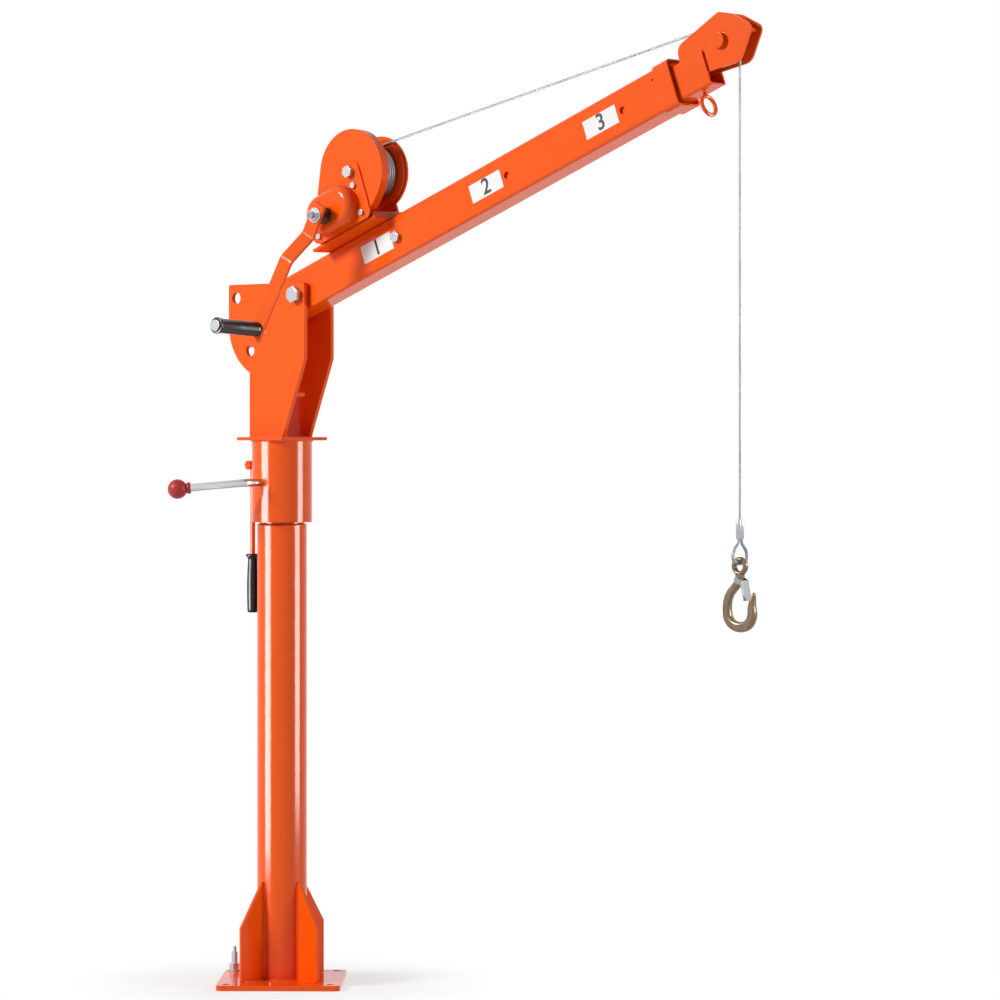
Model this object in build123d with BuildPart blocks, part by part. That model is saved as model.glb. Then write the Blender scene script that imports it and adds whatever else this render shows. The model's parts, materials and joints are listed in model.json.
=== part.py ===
from build123d import *

import math
import os

# Pickup truck crane. Millimetres, +Z up, origin under the middle of the base plate.
# +X is the way the boom points, -Y is the crank side.

# Clearances
run_gap = 0.05
loose_gap = 0.3
slide_gap = 1.0

# Base plate, post and gussets
plate_edge = 17.5
plate_t = 10.0
plate_corner_r = 9.0
base_turn = -4.0
anchor_pitch = 185.0
anchor_hole_d = 14.0
post_d = 89.0
post_wall = 4.0
shoulder_gap = 2.5
shoulder_r = 4.0
neck_step = 4.5
neck_wall = 6.0
neck_plug_h = 40.0
gusset_t = 6.0
gusset_reach = 98.0
gusset_edge_h = 96.0
gusset_h = 175.0
gusset_lip = 4.0

# Anchor bolt
stud_d = 12.0
stud_rise = 21.0
stud_tip_d = 6.7
stud_tip_h = 10.0
anchor_nut_af = 18.0
anchor_nut_h = 11.0
anchor_washer_d = 24.0
anchor_washer_t = 2.5

# Swivel sleeve on the post
bush_t = 7.85
sleeve_wall = 6.0
sleeve_bottom = 828.0
sleeve_h = 146.5
bush_h = 30.0
pad_t = 8.0
pad_spigot_h = 12.0
flange_lip = 4.0
flange_t = 6.0
flange_corner_r = 3.0

# Clamp lever
clamp_z = 899.0
clamp_rod_d = 14.0
clamp_stand = 40.0
clamp_bend_r = 22.0
clamp_swing = 84.0
clamp_drop = 11.0
ball_d = 35.0
ball_socket = 12.0
ball_collar_d = 21.0
ball_collar_len = 6.0

# Swing handle
handle_deg = 187.0
handle_z = 930.0
handle_stand = 13.0
handle_eye_d = 15.0
handle_eye_w = 12.0
handle_rod_d = 9.0
handle_bolt_d = 8.0
handle_bolt_af = 13.0
handle_bolt_head = 5.0
ear_t = 4.0
ear_h = 16.0
grip_d = 21.0
grip_bottom = 664.0
grip_h = 106.0
grip_end_wall = 8.0
grip_end_r = 4.0
grip_flange_d = 25.0
grip_flange_t = 5.0

# Cheeks and the luffing pivot
cheek_gap = 59.0
cheek_t = 8.0
pivot_x = 73.0
pivot_z = 1233.5
boom_deg = 20.5
luff_step = 19.4
lock_r = 152.0
lock_hole_d = 21.0
lock_pin_d = 20.0
cheek_tail_edge = 19.5
cheek_arc_x = 0.0
cheek_arc_z = 1184.0
cheek_rise = 21.5
cheek_nose = 20.6
cheek_nose_drop = 113.5
cheek_foot_front = 38.7
cheek_foot_back = -45.0
cheek_corner_r = 5.0
cheek_throat_r = 3.0
peg_d = 10.0
peg_len = 33.0
peg_x = 50.0
peg_z = 1057.0
pivot_d = 20.0
pivot_af = 27.0
pivot_head = 12.5
pivot_nut_h = 16.0
pivot_thread = 4.0
pivot_bush_d = 30.0
pivot_end_gap = 0.5
luff_pin_reach = 2.0
luff_pin_af = 30.0
luff_pin_head = 12.5

# Boom
boom_w = 50.0
boom_h = 75.0
boom_wall = 4.0
boom_r = 6.0
boom_drop = 30.5
boom_tail = 178.0
boom_front = 919.0
collar_len = 33.5
collar_t = 4.0
collar_over = 12.0
reach_first = 253.0
reach_step = 274.5
reach_hole_d = 13.0
reach_pin_d = 12.0
reach_pin_af = 18.0
reach_pin_head = 8.0
reach_pin_tail = 12.0
sight_hole_d = 4.0
sight_back = 41.0
sight_p = 28.0
label_w = 75.0
label_h = 32.0
label_t = 0.6
label_back = 50.0

# Winch: places are along the boom (s), square to it (p), and across it (y)
drum_s = 226.0
drum_p = 139.0
gear_module = 3.0
gear_teeth = 44
pinion_teeth = 12
pressure_deg = 20.0
addendum = 2.1
tooth_floor = 0.6
backlash = 0.4
pinion_dir = 225.0
base_t = 5.0
base_lip_h = 9.5
base_hump = 38.0
base_edge_r = 4.0
base_back = 88.0
base_front = 248.0
base_near = 62.0
base_far = 17.0
frame_t = 4.0
near_plate_y = -48.0
far_plate_y = 7.0
far_plate_r = 66.0
far_plate_foot = 200.0
case_r = 75.0
case_wall = 2.5
case_depth = 14.0
case_corner_r = 13.0
case_low_p = 64.0
case_back_s = 113.0
case_front_gap = 3.0
gear_w = 9.0
gear_gap = 1.5
cover_t = 3.0
cover_top_s = 229.0
cover_top_p = 139.0
cover_top_r = 19.0
cover_corner_r = 13.0
cover_low_p = 61.5
cover_front_s = 235.0
cover_back_s = 121.0
dome_r = 35.0
dome_h = 25.0
dome_edge_r = 14.0
dome_p = 89.0
dome_back_s = 150.0
dome_front_s = 192.0
cover_bolt_d = 6.0
cover_bolt_af = 10.0
cover_bolt_head = 5.0
cover_bolt_high_s = 227.0
cover_bolt_high_p = 113.0
cover_bolt_front_s = 228.5
cover_bolt_back_s = 118.8
axle_d = 14.0
axle_af = 19.0
axle_head = 9.0
axle_nut_h = 12.0
axle_thread = 3.0

# Drum and rope
drum_gap = 1.0
drum_w = 53.0
flange_r = 62.0
drum_flange_t = 3.0
barrel_r = 30.0
hub_d = 40.0
hub_gap = 0.5
rope_d = 4.0
rope_lay_r = 45.5
rope_pitch = 4.6
rope_quarters = 36
rope_core_gap = 0.3
rope_lug_len = 10.0
rope_lug_h = 7.0

# Crank
shaft_d = 16.0
shaft_ring_d = 22.0
shaft_ring_t = 3.0
ratchet_r = 22.0
ratchet_depth = 4.0
ratchet_teeth = 12
ratchet_t = 5.0
ratchet_in = 8.0
pawl_stand = 33.0
pawl_r = 6.0
pawl_pin_d = 6.0
collar_out = 20.0
crank_collar_d = 30.0
crank_collar_r = 2.5
crank_t = 6.0
crank_w = 28.0
crank_r = 223.7
crank_deg = 221.6
crank_joggle = 31.5
crank_joggle_from = 40.0
crank_joggle_to = 88.0
crank_bend_r = 20.0
crank_end = 21.0
crank_corner_r = 2.5
crank_lean = 3.0
crank_nut_af = 19.0
crank_nut_h = 8.0
crank_thread_d = 12.0
crank_thread_out = 4.0
spindle_d = 10.0
spindle_af = 17.0
spindle_head = 7.0
spindle_cap_d = 20.0
spindle_cap_t = 3.0
crank_grip_d = 26.5
crank_grip_len = 101.0
crank_flange_d = 29.0
crank_flange_t = 5.0

# Inner boom and its head
inner_w = 40.0
inner_h = 60.0
inner_wall = 3.0
inner_r = 5.0
inner_back = 15.0
inner_front = 986.0
head_w = 31.0
head_t = 4.0
head_slot_back = 930.0
head_tail_in = 4.0
head_tail_p = 27.0
head_low_p = -4.5
head_rise_in = 7.0
head_rise_p = 60.5
head_rise_r = 18.0
head_crown_out = 13.0
head_crown_p = 79.0
head_crown_r = 12.0
head_brow_out = 38.0
head_brow_p = 65.0
head_brow_r = 12.0
head_tip_out = 15.5
head_tip_r = 12.0
head_chin_out = 28.0
head_chin_p = -15.0
head_chin_r = 24.0
head_edge_r = 2.0
sheave_s = 1024.0
sheave_p = 34.0
sheave_rope_r = 30.0
sheave_rim_r = 36.0
sheave_w = 20.0
sheave_lip = 2.0
sheave_axle_d = 16.0
sheave_head_d = 27.5
sheave_head_t = 8.0
sheave_tail_d = 22.0
sheave_tail_t = 4.0
keeper_s = 1079.5
keeper_p = 29.5
keeper_d = 7.0
ring_s = 955.0
ring_r = 16.5
ring_bar_d = 7.0
ring_neck = 4.0
ring_neck_d = 6.4

# Hook line
ferrule_top = 847.0
ferrule_h = 32.0
ferrule_w = 16.0
ferrule_t = 9.0
loop_rope_d = 6.0
loop_half = 15.0
loop_bottom = 775.0
loop_shoulder = 795.0
loop_leg = 3.3
loop_lead = 7.0
hook_eye_r = 15.5
hook_hole_r = 8.5
hook_eye_t = 10.0
hook_seat_gap = 1.2
hook_bar_r = 8.0
hook_bowl_r = 25.0
hook_bottom = 666.0
hook_neck_drop = 24.0
hook_neck_lean = 2.0
hook_back_drop = 47.0
hook_tip_rise = 30.0
hook_tip_top = 48.0
hook_tip_lean = 1.0
latch_drop = 22.5
latch_pin_d = 4.0
latch_ear_r = 5.0
latch_ear_t = 1.5
latch_plate_t = 2.0
latch_reach = 33.0
latch_flare = 1.0

# Boom directions and shared places
boom_c = math.cos(math.radians(boom_deg))
boom_s = math.sin(math.radians(boom_deg))
boom_dir = Vector(boom_c, 0, boom_s)
neck_d = post_d - 2 * neck_step
neck_bore = neck_d - 2 * neck_wall
bush_bore = neck_d + 4 * run_gap
bush_outer = bush_bore + 2 * bush_t
sleeve_bore = bush_outer + 2 * run_gap
sleeve_d = sleeve_bore + 2 * sleeve_wall
flange_side = sleeve_d + 2 * flange_lip
clamp_reach = sleeve_d / 2 + clamp_stand
sleeve_top = sleeve_bottom + sleeve_h
post_top = sleeve_top - pad_t
head_z = sleeve_top + flange_t
shoulder_z = sleeve_bottom - shoulder_gap
cheek_out = cheek_gap / 2 + cheek_t
boom_top = boom_h - boom_drop
tube_front = boom_front - collar_over
boom_mid = boom_top - boom_h / 2
base_top = boom_top + base_t
reach_stops = [reach_first + k * reach_step for k in range(3)]

centres = gear_module * (gear_teeth + pinion_teeth) / 2
pinion_s = drum_s + centres * math.cos(math.radians(pinion_dir))
pinion_p = drum_p + centres * math.sin(math.radians(pinion_dir))
case_seat_y = near_plate_y - frame_t
case_face_y = case_seat_y - case_depth
cover_face_y = case_face_y - cover_t
dome_face_y = cover_face_y - dome_h
gear_far_y = case_seat_y - gear_gap
far_face_y = far_plate_y + frame_t
drum_far_y = far_plate_y - drum_gap
drum_near_y = drum_far_y - drum_w
arm_far_y = dome_face_y - collar_out
arm_near_y = arm_far_y - crank_t
head_half = head_w / 2


def at(s, p, y=0.0):
    """World point of a place on the boom."""
    return Vector(pivot_x + s * boom_c - p * boom_s, y, pivot_z + s * boom_s + p * boom_c)


def boom_side(y, s=0.0, p=0.0):
    """Plane across y with its x along the boom; it faces the crank side."""
    return Plane(origin=at(s, p, y), x_dir=boom_dir, z_dir=(0, -1, 0))


def boom_cut(s, p=0.0):
    """Plane square to the boom, facing its tip, with x along +Y."""
    return Plane(origin=at(s, p), x_dir=(0, 1, 0), z_dir=boom_dir)


def mast_side(y, x=0.0, z=0.0):
    """Upright plane across y that faces the crank side."""
    return Plane(origin=(x, y, z), x_dir=(1, 0, 0), z_dir=(0, -1, 0))


def level(z, x=0.0, y=0.0):
    return Plane(origin=(x, y, z), x_dir=(1, 0, 0), z_dir=(0, 0, 1))


def disc(plane, d):
    with BuildSketch(plane) as shape:
        Circle(d / 2)
    return shape.sketch


def ring(plane, outer_d, inner_d):
    with BuildSketch(plane) as shape:
        Circle(outer_d / 2)
        Circle(inner_d / 2, mode=Mode.SUBTRACT)
    return shape.sketch


def hexagon(plane, across):
    with BuildSketch(plane) as shape:
        RegularPolygon(across / 2, 6, major_radius=False)
    return shape.sketch


def rounded_box(plane, width, height, corner):
    with BuildSketch(plane) as shape:
        RectangleRounded(width, height, corner)
    return shape.sketch


def slab(plane, width, height):
    with BuildSketch(plane) as shape:
        Rectangle(width, height)
    return shape.sketch


def hull_of(plane, circles):
    """Face round a group of circles, each (x, y, radius)."""
    with BuildSketch(plane) as shape:
        for x, y, radius in circles:
            with Locations((x, y)):
                Circle(radius)
        make_hull(mode=Mode.REPLACE)
    return shape.sketch


def polar(radius, angle):
    return (radius * math.cos(angle), radius * math.sin(angle))


def involute(angle):
    return math.tan(angle) - angle


def gear_face(plane, teeth, first_deg):
    """Spur gear outline with one tooth centred on first_deg."""
    pitch_r = gear_module * teeth / 2
    tip_r = pitch_r + addendum
    root_r = pitch_r - addendum - tooth_floor
    base_r = pitch_r * math.cos(math.radians(pressure_deg))
    foot_r = max(base_r, root_r)
    half_pitch = math.pi / (2 * teeth) - backlash / (4 * pitch_r)

    def half_at(radius):
        lean = involute(math.acos(min(1.0, base_r / radius)))
        return half_pitch + involute(math.radians(pressure_deg)) - lean

    def flank(middle, side, radius):
        return polar(radius, middle + side * half_at(max(radius, foot_r)))

    with BuildSketch(plane) as shape:
        with BuildLine():
            for tooth in range(teeth):
                middle = math.radians(first_deg) + tooth * 2 * math.pi / teeth
                following = middle + 2 * math.pi / teeth
                rising = [flank(middle, -1, r) for r in (foot_r, (foot_r + tip_r) / 2, tip_r)]
                falling = [flank(middle, 1, r) for r in (tip_r, (foot_r + tip_r) / 2, foot_r)]
                ThreePointArc(*rising)
                Line(rising[2], falling[0])
                ThreePointArc(*falling)
                if foot_r > root_r:
                    Polyline(falling[2], flank(middle, 1, root_r), flank(following, -1, root_r),
                             flank(following, -1, foot_r))
                else:
                    Line(falling[2], flank(following, -1, root_r))
        make_face()
    return shape.sketch


def keep(part, name):
    part.label = name
    export_step(part, f"parts/{name}.step")


os.makedirs("parts", exist_ok=True)

# Base plate, with its corners near X and Y
anchor_r = anchor_pitch / math.sqrt(2)
plate_side = anchor_pitch + 2 * plate_edge

with BuildPart() as base_plate:
    with BuildSketch() as outline:
        Rectangle(plate_side, plate_side, rotation=45 + base_turn)
        fillet(outline.vertices(), plate_corner_r)
        with PolarLocations(anchor_r, 4, start_angle=base_turn):
            Circle(anchor_hole_d / 2, mode=Mode.SUBTRACT)
    extrude(amount=plate_t)
keep(base_plate.part, "base_plate")

# Post, with a turned neck that the sleeve's bushes run on
with BuildPart() as post_tube:
    extrude(disc(level(plate_t), post_d), amount=shoulder_z - plate_t)
    fillet(post_tube.edges().group_by(Axis.Z)[-1], shoulder_r)
    extrude(disc(level(shoulder_z), neck_d), amount=post_top - shoulder_z)
    extrude(disc(level(plate_t), post_d - 2 * post_wall), amount=shoulder_z - neck_plug_h - plate_t,
            mode=Mode.SUBTRACT)
    extrude(disc(level(plate_t), neck_bore), amount=post_top - plate_t, mode=Mode.SUBTRACT)
keep(post_tube.part, "post_tube")

with BuildPart() as post_gussets:
    for turn in range(4):
        angle = math.radians(base_turn + 90 * turn)
        out = Vector(math.cos(angle), math.sin(angle), 0)
        across = Vector(math.sin(angle), -math.cos(angle), 0)
        with BuildSketch(Plane(origin=(0, 0, plate_t), x_dir=out, z_dir=across)):
            with BuildLine():
                Polyline((post_d / 2 - post_wall / 2, 0), (gusset_reach, 0), (gusset_reach, gusset_edge_h),
                         (post_d / 2 + gusset_lip, gusset_h), (post_d / 2 - post_wall / 2, gusset_h),
                         close=True)
            make_face()
        extrude(amount=gusset_t / 2, both=True)
    extrude(disc(level(plate_t), post_d), amount=gusset_h, mode=Mode.SUBTRACT)
keep(post_gussets.part, "post_gussets")

with BuildPart() as thrust_pad:
    extrude(disc(level(post_top), neck_d), amount=pad_t)
    extrude(disc(level(post_top), neck_bore - 2 * loose_gap), amount=-pad_spigot_h)
keep(thrust_pad.part, "thrust_pad")

# Anchor bolt in the corner hole behind the post
washer_top = plate_t + anchor_washer_t
nut_top = washer_top + anchor_nut_h
stud_x = -anchor_r * math.cos(math.radians(base_turn))
stud_y = -anchor_r * math.sin(math.radians(base_turn))

with BuildPart() as anchor_stud:
    extrude(disc(level(0, stud_x, stud_y), stud_d), amount=nut_top + stud_rise)
    extrude(disc(level(nut_top + stud_rise, stud_x, stud_y), stud_tip_d), amount=stud_tip_h)
keep(anchor_stud.part, "anchor_stud")

with BuildPart() as anchor_washer:
    extrude(ring(level(plate_t, stud_x, stud_y), anchor_washer_d, stud_d + 2 * loose_gap),
            amount=anchor_washer_t)
keep(anchor_washer.part, "anchor_washer")

with BuildPart() as anchor_nut:
    extrude(hexagon(level(washer_top, stud_x, stud_y), anchor_nut_af), amount=anchor_nut_h)
    extrude(disc(level(washer_top, stud_x, stud_y), stud_d + 2 * run_gap), amount=anchor_nut_h,
            mode=Mode.SUBTRACT)
keep(anchor_nut.part, "anchor_nut")

# Swivel sleeve, its bushes and the flange that closes it
with BuildPart() as swivel_sleeve:
    extrude(ring(level(sleeve_bottom), sleeve_d, sleeve_bore), amount=sleeve_h)
    extrude(disc(mast_side(0, 0, clamp_z), clamp_rod_d + 2 * run_gap), amount=sleeve_d,
            mode=Mode.SUBTRACT)
keep(swivel_sleeve.part, "swivel_sleeve")

with BuildPart() as sleeve_bushes:
    for z in (sleeve_bottom, sleeve_top - pad_t - bush_h):
        extrude(ring(level(z), bush_outer, bush_bore), amount=bush_h)
keep(sleeve_bushes.part, "sleeve_bushes")

with BuildPart() as head_flange:
    extrude(rounded_box(level(sleeve_top), flange_side, flange_side, flange_corner_r), amount=flange_t)
keep(head_flange.part, "head_flange")

# Cheeks: the lock holes lie on a circle round the pivot, and an arc rounds the tail below them
lock_angles = [boom_deg - luff_step, boom_deg, boom_deg + luff_step]
lock_points = [(pivot_x - lock_r * math.cos(math.radians(a)), pivot_z - lock_r * math.sin(math.radians(a)))
               for a in lock_angles]
cheek_tail_x = pivot_x - lock_r - cheek_tail_edge
cheek_arc_r = cheek_arc_x - cheek_tail_x
cheek_top = pivot_z + cheek_rise


def arc_point(x):
    """Point of the cheek's lower arc above x."""
    return (x, cheek_arc_z - math.sqrt(cheek_arc_r ** 2 - (x - cheek_arc_x) ** 2))


def cheek_face(plane):
    low = arc_point(cheek_foot_back)
    high = (cheek_tail_x, cheek_arc_z)
    between = arc_point((cheek_foot_back + cheek_tail_x) / 2)
    nose_x = pivot_x + cheek_nose
    with BuildSketch(plane) as shape:
        with BuildLine():
            Line((cheek_foot_back, head_z), low)
            ThreePointArc(low, between, high)
            Polyline(high, (cheek_tail_x, cheek_top), (nose_x, cheek_top),
                     (nose_x, pivot_z - cheek_nose_drop), (cheek_foot_front, head_z),
                     (cheek_foot_back, head_z))
        make_face()
        corners = shape.vertices()
        fillet(corners.group_by(Axis.Y)[-1], cheek_corner_r)
        fillet(shape.vertices().sort_by_distance(low)[0], cheek_throat_r)
        with Locations((pivot_x, pivot_z)):
            Circle(pivot_d / 2 + run_gap, mode=Mode.SUBTRACT)
        with Locations(*lock_points):
            Circle(lock_hole_d / 2, mode=Mode.SUBTRACT)
    return shape.sketch


with BuildPart() as cheek_near:
    extrude(cheek_face(mast_side(-cheek_gap / 2)), amount=cheek_t)
keep(cheek_near.part, "cheek_near")

with BuildPart() as cheek_far:
    extrude(cheek_face(mast_side(cheek_out)), amount=cheek_t)
keep(cheek_far.part, "cheek_far")

with BuildPart() as cheek_peg:
    extrude(disc(mast_side(-cheek_gap / 2, peg_x, peg_z), peg_d), amount=-peg_len)
keep(cheek_peg.part, "cheek_peg")

with BuildPart() as pivot_bolt:
    extrude(disc(boom_side(-cheek_out), pivot_d), amount=-(2 * cheek_out + pivot_nut_h + pivot_thread))
    extrude(hexagon(boom_side(-cheek_out), pivot_af), amount=pivot_head)
keep(pivot_bolt.part, "pivot_bolt")

with BuildPart() as pivot_nut:
    extrude(hexagon(boom_side(cheek_out), pivot_af), amount=-pivot_nut_h)
    extrude(disc(boom_side(cheek_out), pivot_d + 2 * run_gap), amount=-pivot_nut_h, mode=Mode.SUBTRACT)
keep(pivot_nut.part, "pivot_nut")

# Clamp lever: a screw through the sleeve whose outer end is bent to a handle
clamp_tip = Vector(0, -(post_d / 2 + loose_gap), clamp_z)
clamp_bend = Vector(0, -clamp_reach, clamp_z)
ball_centre = Vector(-clamp_swing, -clamp_reach - clamp_swing, clamp_z - clamp_drop)
lever_dir = (ball_centre - clamp_bend).normalized()
rod_end = ball_centre - lever_dir * (ball_d / 2 - ball_socket)

with BuildPart() as clamp_rod:
    with BuildLine():
        FilletPolyline(clamp_tip, clamp_bend, rod_end, radius=clamp_bend_r)
    with BuildSketch(Plane(origin=clamp_tip, z_dir=(0, -1, 0))):
        Circle(clamp_rod_d / 2)
    sweep()
keep(clamp_rod.part, "clamp_rod")

with BuildPart() as lever_ball:
    with Locations(ball_centre):
        Sphere(ball_d / 2)
    extrude(disc(Plane(origin=ball_centre, z_dir=lever_dir), ball_collar_d),
            amount=-(ball_d / 2 + ball_collar_len))
    extrude(disc(Plane(origin=rod_end, z_dir=lever_dir), clamp_rod_d), amount=-ball_d,
            mode=Mode.SUBTRACT)
keep(lever_ball.part, "lever_ball")

# Swing handle on a clevis welded to the sleeve
handle_out = Vector(math.cos(math.radians(handle_deg)), math.sin(math.radians(handle_deg)), 0)
handle_side = Vector(-handle_out.Y, handle_out.X, 0)
handle_rho = sleeve_d / 2 + handle_stand
handle_axis = handle_out * handle_rho + Vector(0, 0, handle_z)
ear_half = handle_eye_w / 2 + loose_gap
ear_out = handle_rho + handle_eye_d / 2


def handle_cross(along):
    """Plane across the handle's pivot, so far along the pivot."""
    return Plane(origin=handle_axis + handle_side * along, x_dir=handle_out, z_dir=handle_side)


with BuildPart() as handle_bracket:
    ear_len = ear_out - sleeve_d / 2 + sleeve_wall
    ear_mid = ear_out - ear_len / 2 - handle_rho
    for along in (-ear_half - ear_t, ear_half):
        with BuildSketch(handle_cross(along)):
            with Locations((ear_mid, 0)):
                Rectangle(ear_len, ear_h)
            Circle(handle_bolt_d / 2 + run_gap, mode=Mode.SUBTRACT)
        extrude(amount=ear_t)
    back_mid = sleeve_d / 2 + ear_t / 2 - handle_rho - sleeve_wall / 2
    with BuildSketch(handle_cross(-ear_half)):
        with Locations((back_mid, 0)):
            Rectangle(ear_t + sleeve_wall, ear_h)
    extrude(amount=2 * ear_half)
    extrude(disc(level(sleeve_bottom), sleeve_d), amount=sleeve_h, mode=Mode.SUBTRACT)
keep(handle_bracket.part, "handle_bracket")

with BuildPart() as handle_bolt:
    bolt_half = ear_half + ear_t
    extrude(disc(handle_cross(-bolt_half), handle_bolt_d), amount=2 * bolt_half)
    extrude(hexagon(handle_cross(bolt_half), handle_bolt_af), amount=handle_bolt_head)
    extrude(hexagon(handle_cross(-bolt_half), handle_bolt_af), amount=-handle_bolt_head)
keep(handle_bolt.part, "handle_bolt")

grip_top = grip_bottom + grip_h
handle_foot = handle_out * handle_rho

with BuildPart() as handle_rod:
    rod_low = grip_bottom + grip_end_wall
    extrude(disc(level(rod_low, handle_foot.X, handle_foot.Y), handle_rod_d), amount=handle_z - rod_low)
    extrude(disc(handle_cross(-handle_eye_w / 2), handle_eye_d), amount=handle_eye_w)
    extrude(disc(handle_cross(-handle_eye_w / 2), handle_bolt_d + 2 * run_gap), amount=handle_eye_w,
            mode=Mode.SUBTRACT)
keep(handle_rod.part, "handle_rod")

with BuildPart() as handle_grip:
    extrude(disc(level(grip_bottom, handle_foot.X, handle_foot.Y), grip_d), amount=grip_h)
    fillet(handle_grip.edges().group_by(Axis.Z)[0], grip_end_r)
    extrude(disc(level(grip_top, handle_foot.X, handle_foot.Y), grip_flange_d), amount=-grip_flange_t)
    extrude(disc(level(rod_low, handle_foot.X, handle_foot.Y), handle_rod_d), amount=grip_h,
            mode=Mode.SUBTRACT)
keep(handle_grip.part, "handle_grip")

# Luff pin, drawn back so that its tip waits in the far cheek's third lock hole
pin_tip_y = cheek_gap / 2 + loose_gap
pin_len = 2 * cheek_out + luff_pin_reach
pin_x, pin_z = lock_points[2]

with BuildPart() as luff_pin:
    extrude(disc(mast_side(pin_tip_y, pin_x, pin_z), lock_pin_d), amount=-pin_len)
    extrude(hexagon(mast_side(pin_tip_y + pin_len, pin_x, pin_z), luff_pin_af), amount=-luff_pin_head)
keep(luff_pin.part, "luff_pin")

# Boom tube with its pivot bush, collar and label plates
with BuildPart() as boom_tube:
    extrude(rounded_box(boom_cut(-boom_tail, boom_mid), boom_w, boom_h, boom_r),
            amount=boom_tail + tube_front)
    extrude(rounded_box(boom_cut(-boom_tail, boom_mid), boom_w - 2 * boom_wall, boom_h - 2 * boom_wall,
                        boom_r - boom_wall), amount=boom_tail + tube_front, mode=Mode.SUBTRACT)
    extrude(disc(boom_side(boom_w), pivot_bush_d), amount=2 * boom_w, mode=Mode.SUBTRACT)
    extrude(disc(boom_side(boom_w, -lock_r), lock_hole_d), amount=2 * boom_w, mode=Mode.SUBTRACT)
    for stop in reach_stops:
        extrude(disc(boom_side(boom_w, stop, boom_mid), reach_hole_d), amount=2 * boom_w,
                mode=Mode.SUBTRACT)
    extrude(disc(boom_side(0, boom_front - sight_back, sight_p), sight_hole_d), amount=boom_w,
            mode=Mode.SUBTRACT)
keep(boom_tube.part, "boom_tube")

with BuildPart() as pivot_bush:
    bush_len = cheek_gap - 2 * pivot_end_gap
    extrude(ring(boom_side(bush_len / 2), pivot_bush_d, pivot_d + 4 * run_gap), amount=bush_len)
keep(pivot_bush.part, "pivot_bush")

with BuildPart() as boom_collar:
    extrude(rounded_box(boom_cut(boom_front, boom_mid), boom_w + 2 * collar_t, boom_h + 2 * collar_t,
                        boom_r + collar_t), amount=-collar_len)
    extrude(rounded_box(boom_cut(boom_front, boom_mid), boom_w, boom_h, boom_r), amount=-collar_len,
            mode=Mode.SUBTRACT)
keep(boom_collar.part, "boom_collar")

with BuildPart() as label_plates:
    for stop in reach_stops:
        extrude(slab(boom_side(-boom_w / 2, stop - label_back, boom_mid), label_w, label_h), amount=label_t)
keep(label_plates.part, "label_plates")

with BuildPart() as boom_pin:
    extrude(disc(boom_side(boom_w / 2 + reach_pin_tail, reach_first, boom_mid), reach_pin_d),
            amount=boom_w + reach_pin_tail)
    extrude(hexagon(boom_side(-boom_w / 2, reach_first, boom_mid), reach_pin_af), amount=reach_pin_head)
keep(boom_pin.part, "boom_pin")

# Winch frame
with BuildPart() as winch_base:
    base_len = base_front - base_back
    base_w = base_near + base_far
    base_mid_y = (base_far - base_near) / 2
    with BuildSketch(boom_cut(base_back, boom_top)):
        with Locations((base_mid_y, base_t / 2)):
            Rectangle(base_w, base_t)
    extrude(amount=base_len)
    with BuildSketch(boom_cut(base_front, base_top)):
        with Locations((base_mid_y, base_lip_h / 2)):
            Rectangle(base_w, base_lip_h)
    extrude(amount=-base_t)
    fillet(winch_base.edges().filter_by(Axis.Y).sort_by_distance(at(base_front, base_top + base_lip_h))[0],
           base_edge_r)
    hump_w = far_plate_y - near_plate_y - 2 * loose_gap
    with BuildSketch(boom_cut(base_front - base_t, base_top)):
        with Locations(((far_plate_y + near_plate_y) / 2, base_lip_h / 2)):
            Rectangle(hump_w, base_lip_h)
    extrude(amount=-base_hump)
keep(winch_base.part, "winch_base")

frame_front = base_front - base_t
case_front_s = frame_front - case_corner_r - case_front_gap
case_circles = [(drum_s, drum_p, case_r), (case_back_s, case_low_p, case_corner_r),
                (case_front_s, case_low_p, case_corner_r)]

with BuildPart() as winch_near_plate:
    extrude(hull_of(boom_side(near_plate_y), case_circles), amount=frame_t)
    foot_back = case_back_s - case_corner_r
    with BuildSketch(boom_side(near_plate_y)):
        with Locations(((foot_back + frame_front) / 2, (base_top + case_low_p) / 2)):
            Rectangle(frame_front - foot_back, case_low_p - base_top)
    extrude(amount=frame_t)
    extrude(disc(boom_side(near_plate_y, drum_s, drum_p), hub_d + 2 * hub_gap), amount=frame_t,
            mode=Mode.SUBTRACT)
    extrude(disc(boom_side(near_plate_y, pinion_s, pinion_p), shaft_d + 2 * run_gap), amount=frame_t,
            mode=Mode.SUBTRACT)
keep(winch_near_plate.part, "winch_near_plate")

with BuildPart() as winch_far_plate:
    extrude(disc(boom_side(far_face_y, drum_s, drum_p), 2 * far_plate_r), amount=frame_t)
    with BuildSketch(boom_side(far_face_y)):
        with Locations(((far_plate_foot + frame_front) / 2, (base_top + drum_p) / 2)):
            Rectangle(frame_front - far_plate_foot, drum_p - base_top)
    extrude(amount=frame_t)
    extrude(disc(boom_side(far_face_y, drum_s, drum_p), axle_d + 2 * run_gap), amount=frame_t,
            mode=Mode.SUBTRACT)
keep(winch_far_plate.part, "winch_far_plate")

cover_bolt_points = [(cover_bolt_high_s, cover_bolt_high_p), (cover_bolt_front_s, cover_low_p),
                     (cover_bolt_back_s, cover_low_p)]

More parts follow.
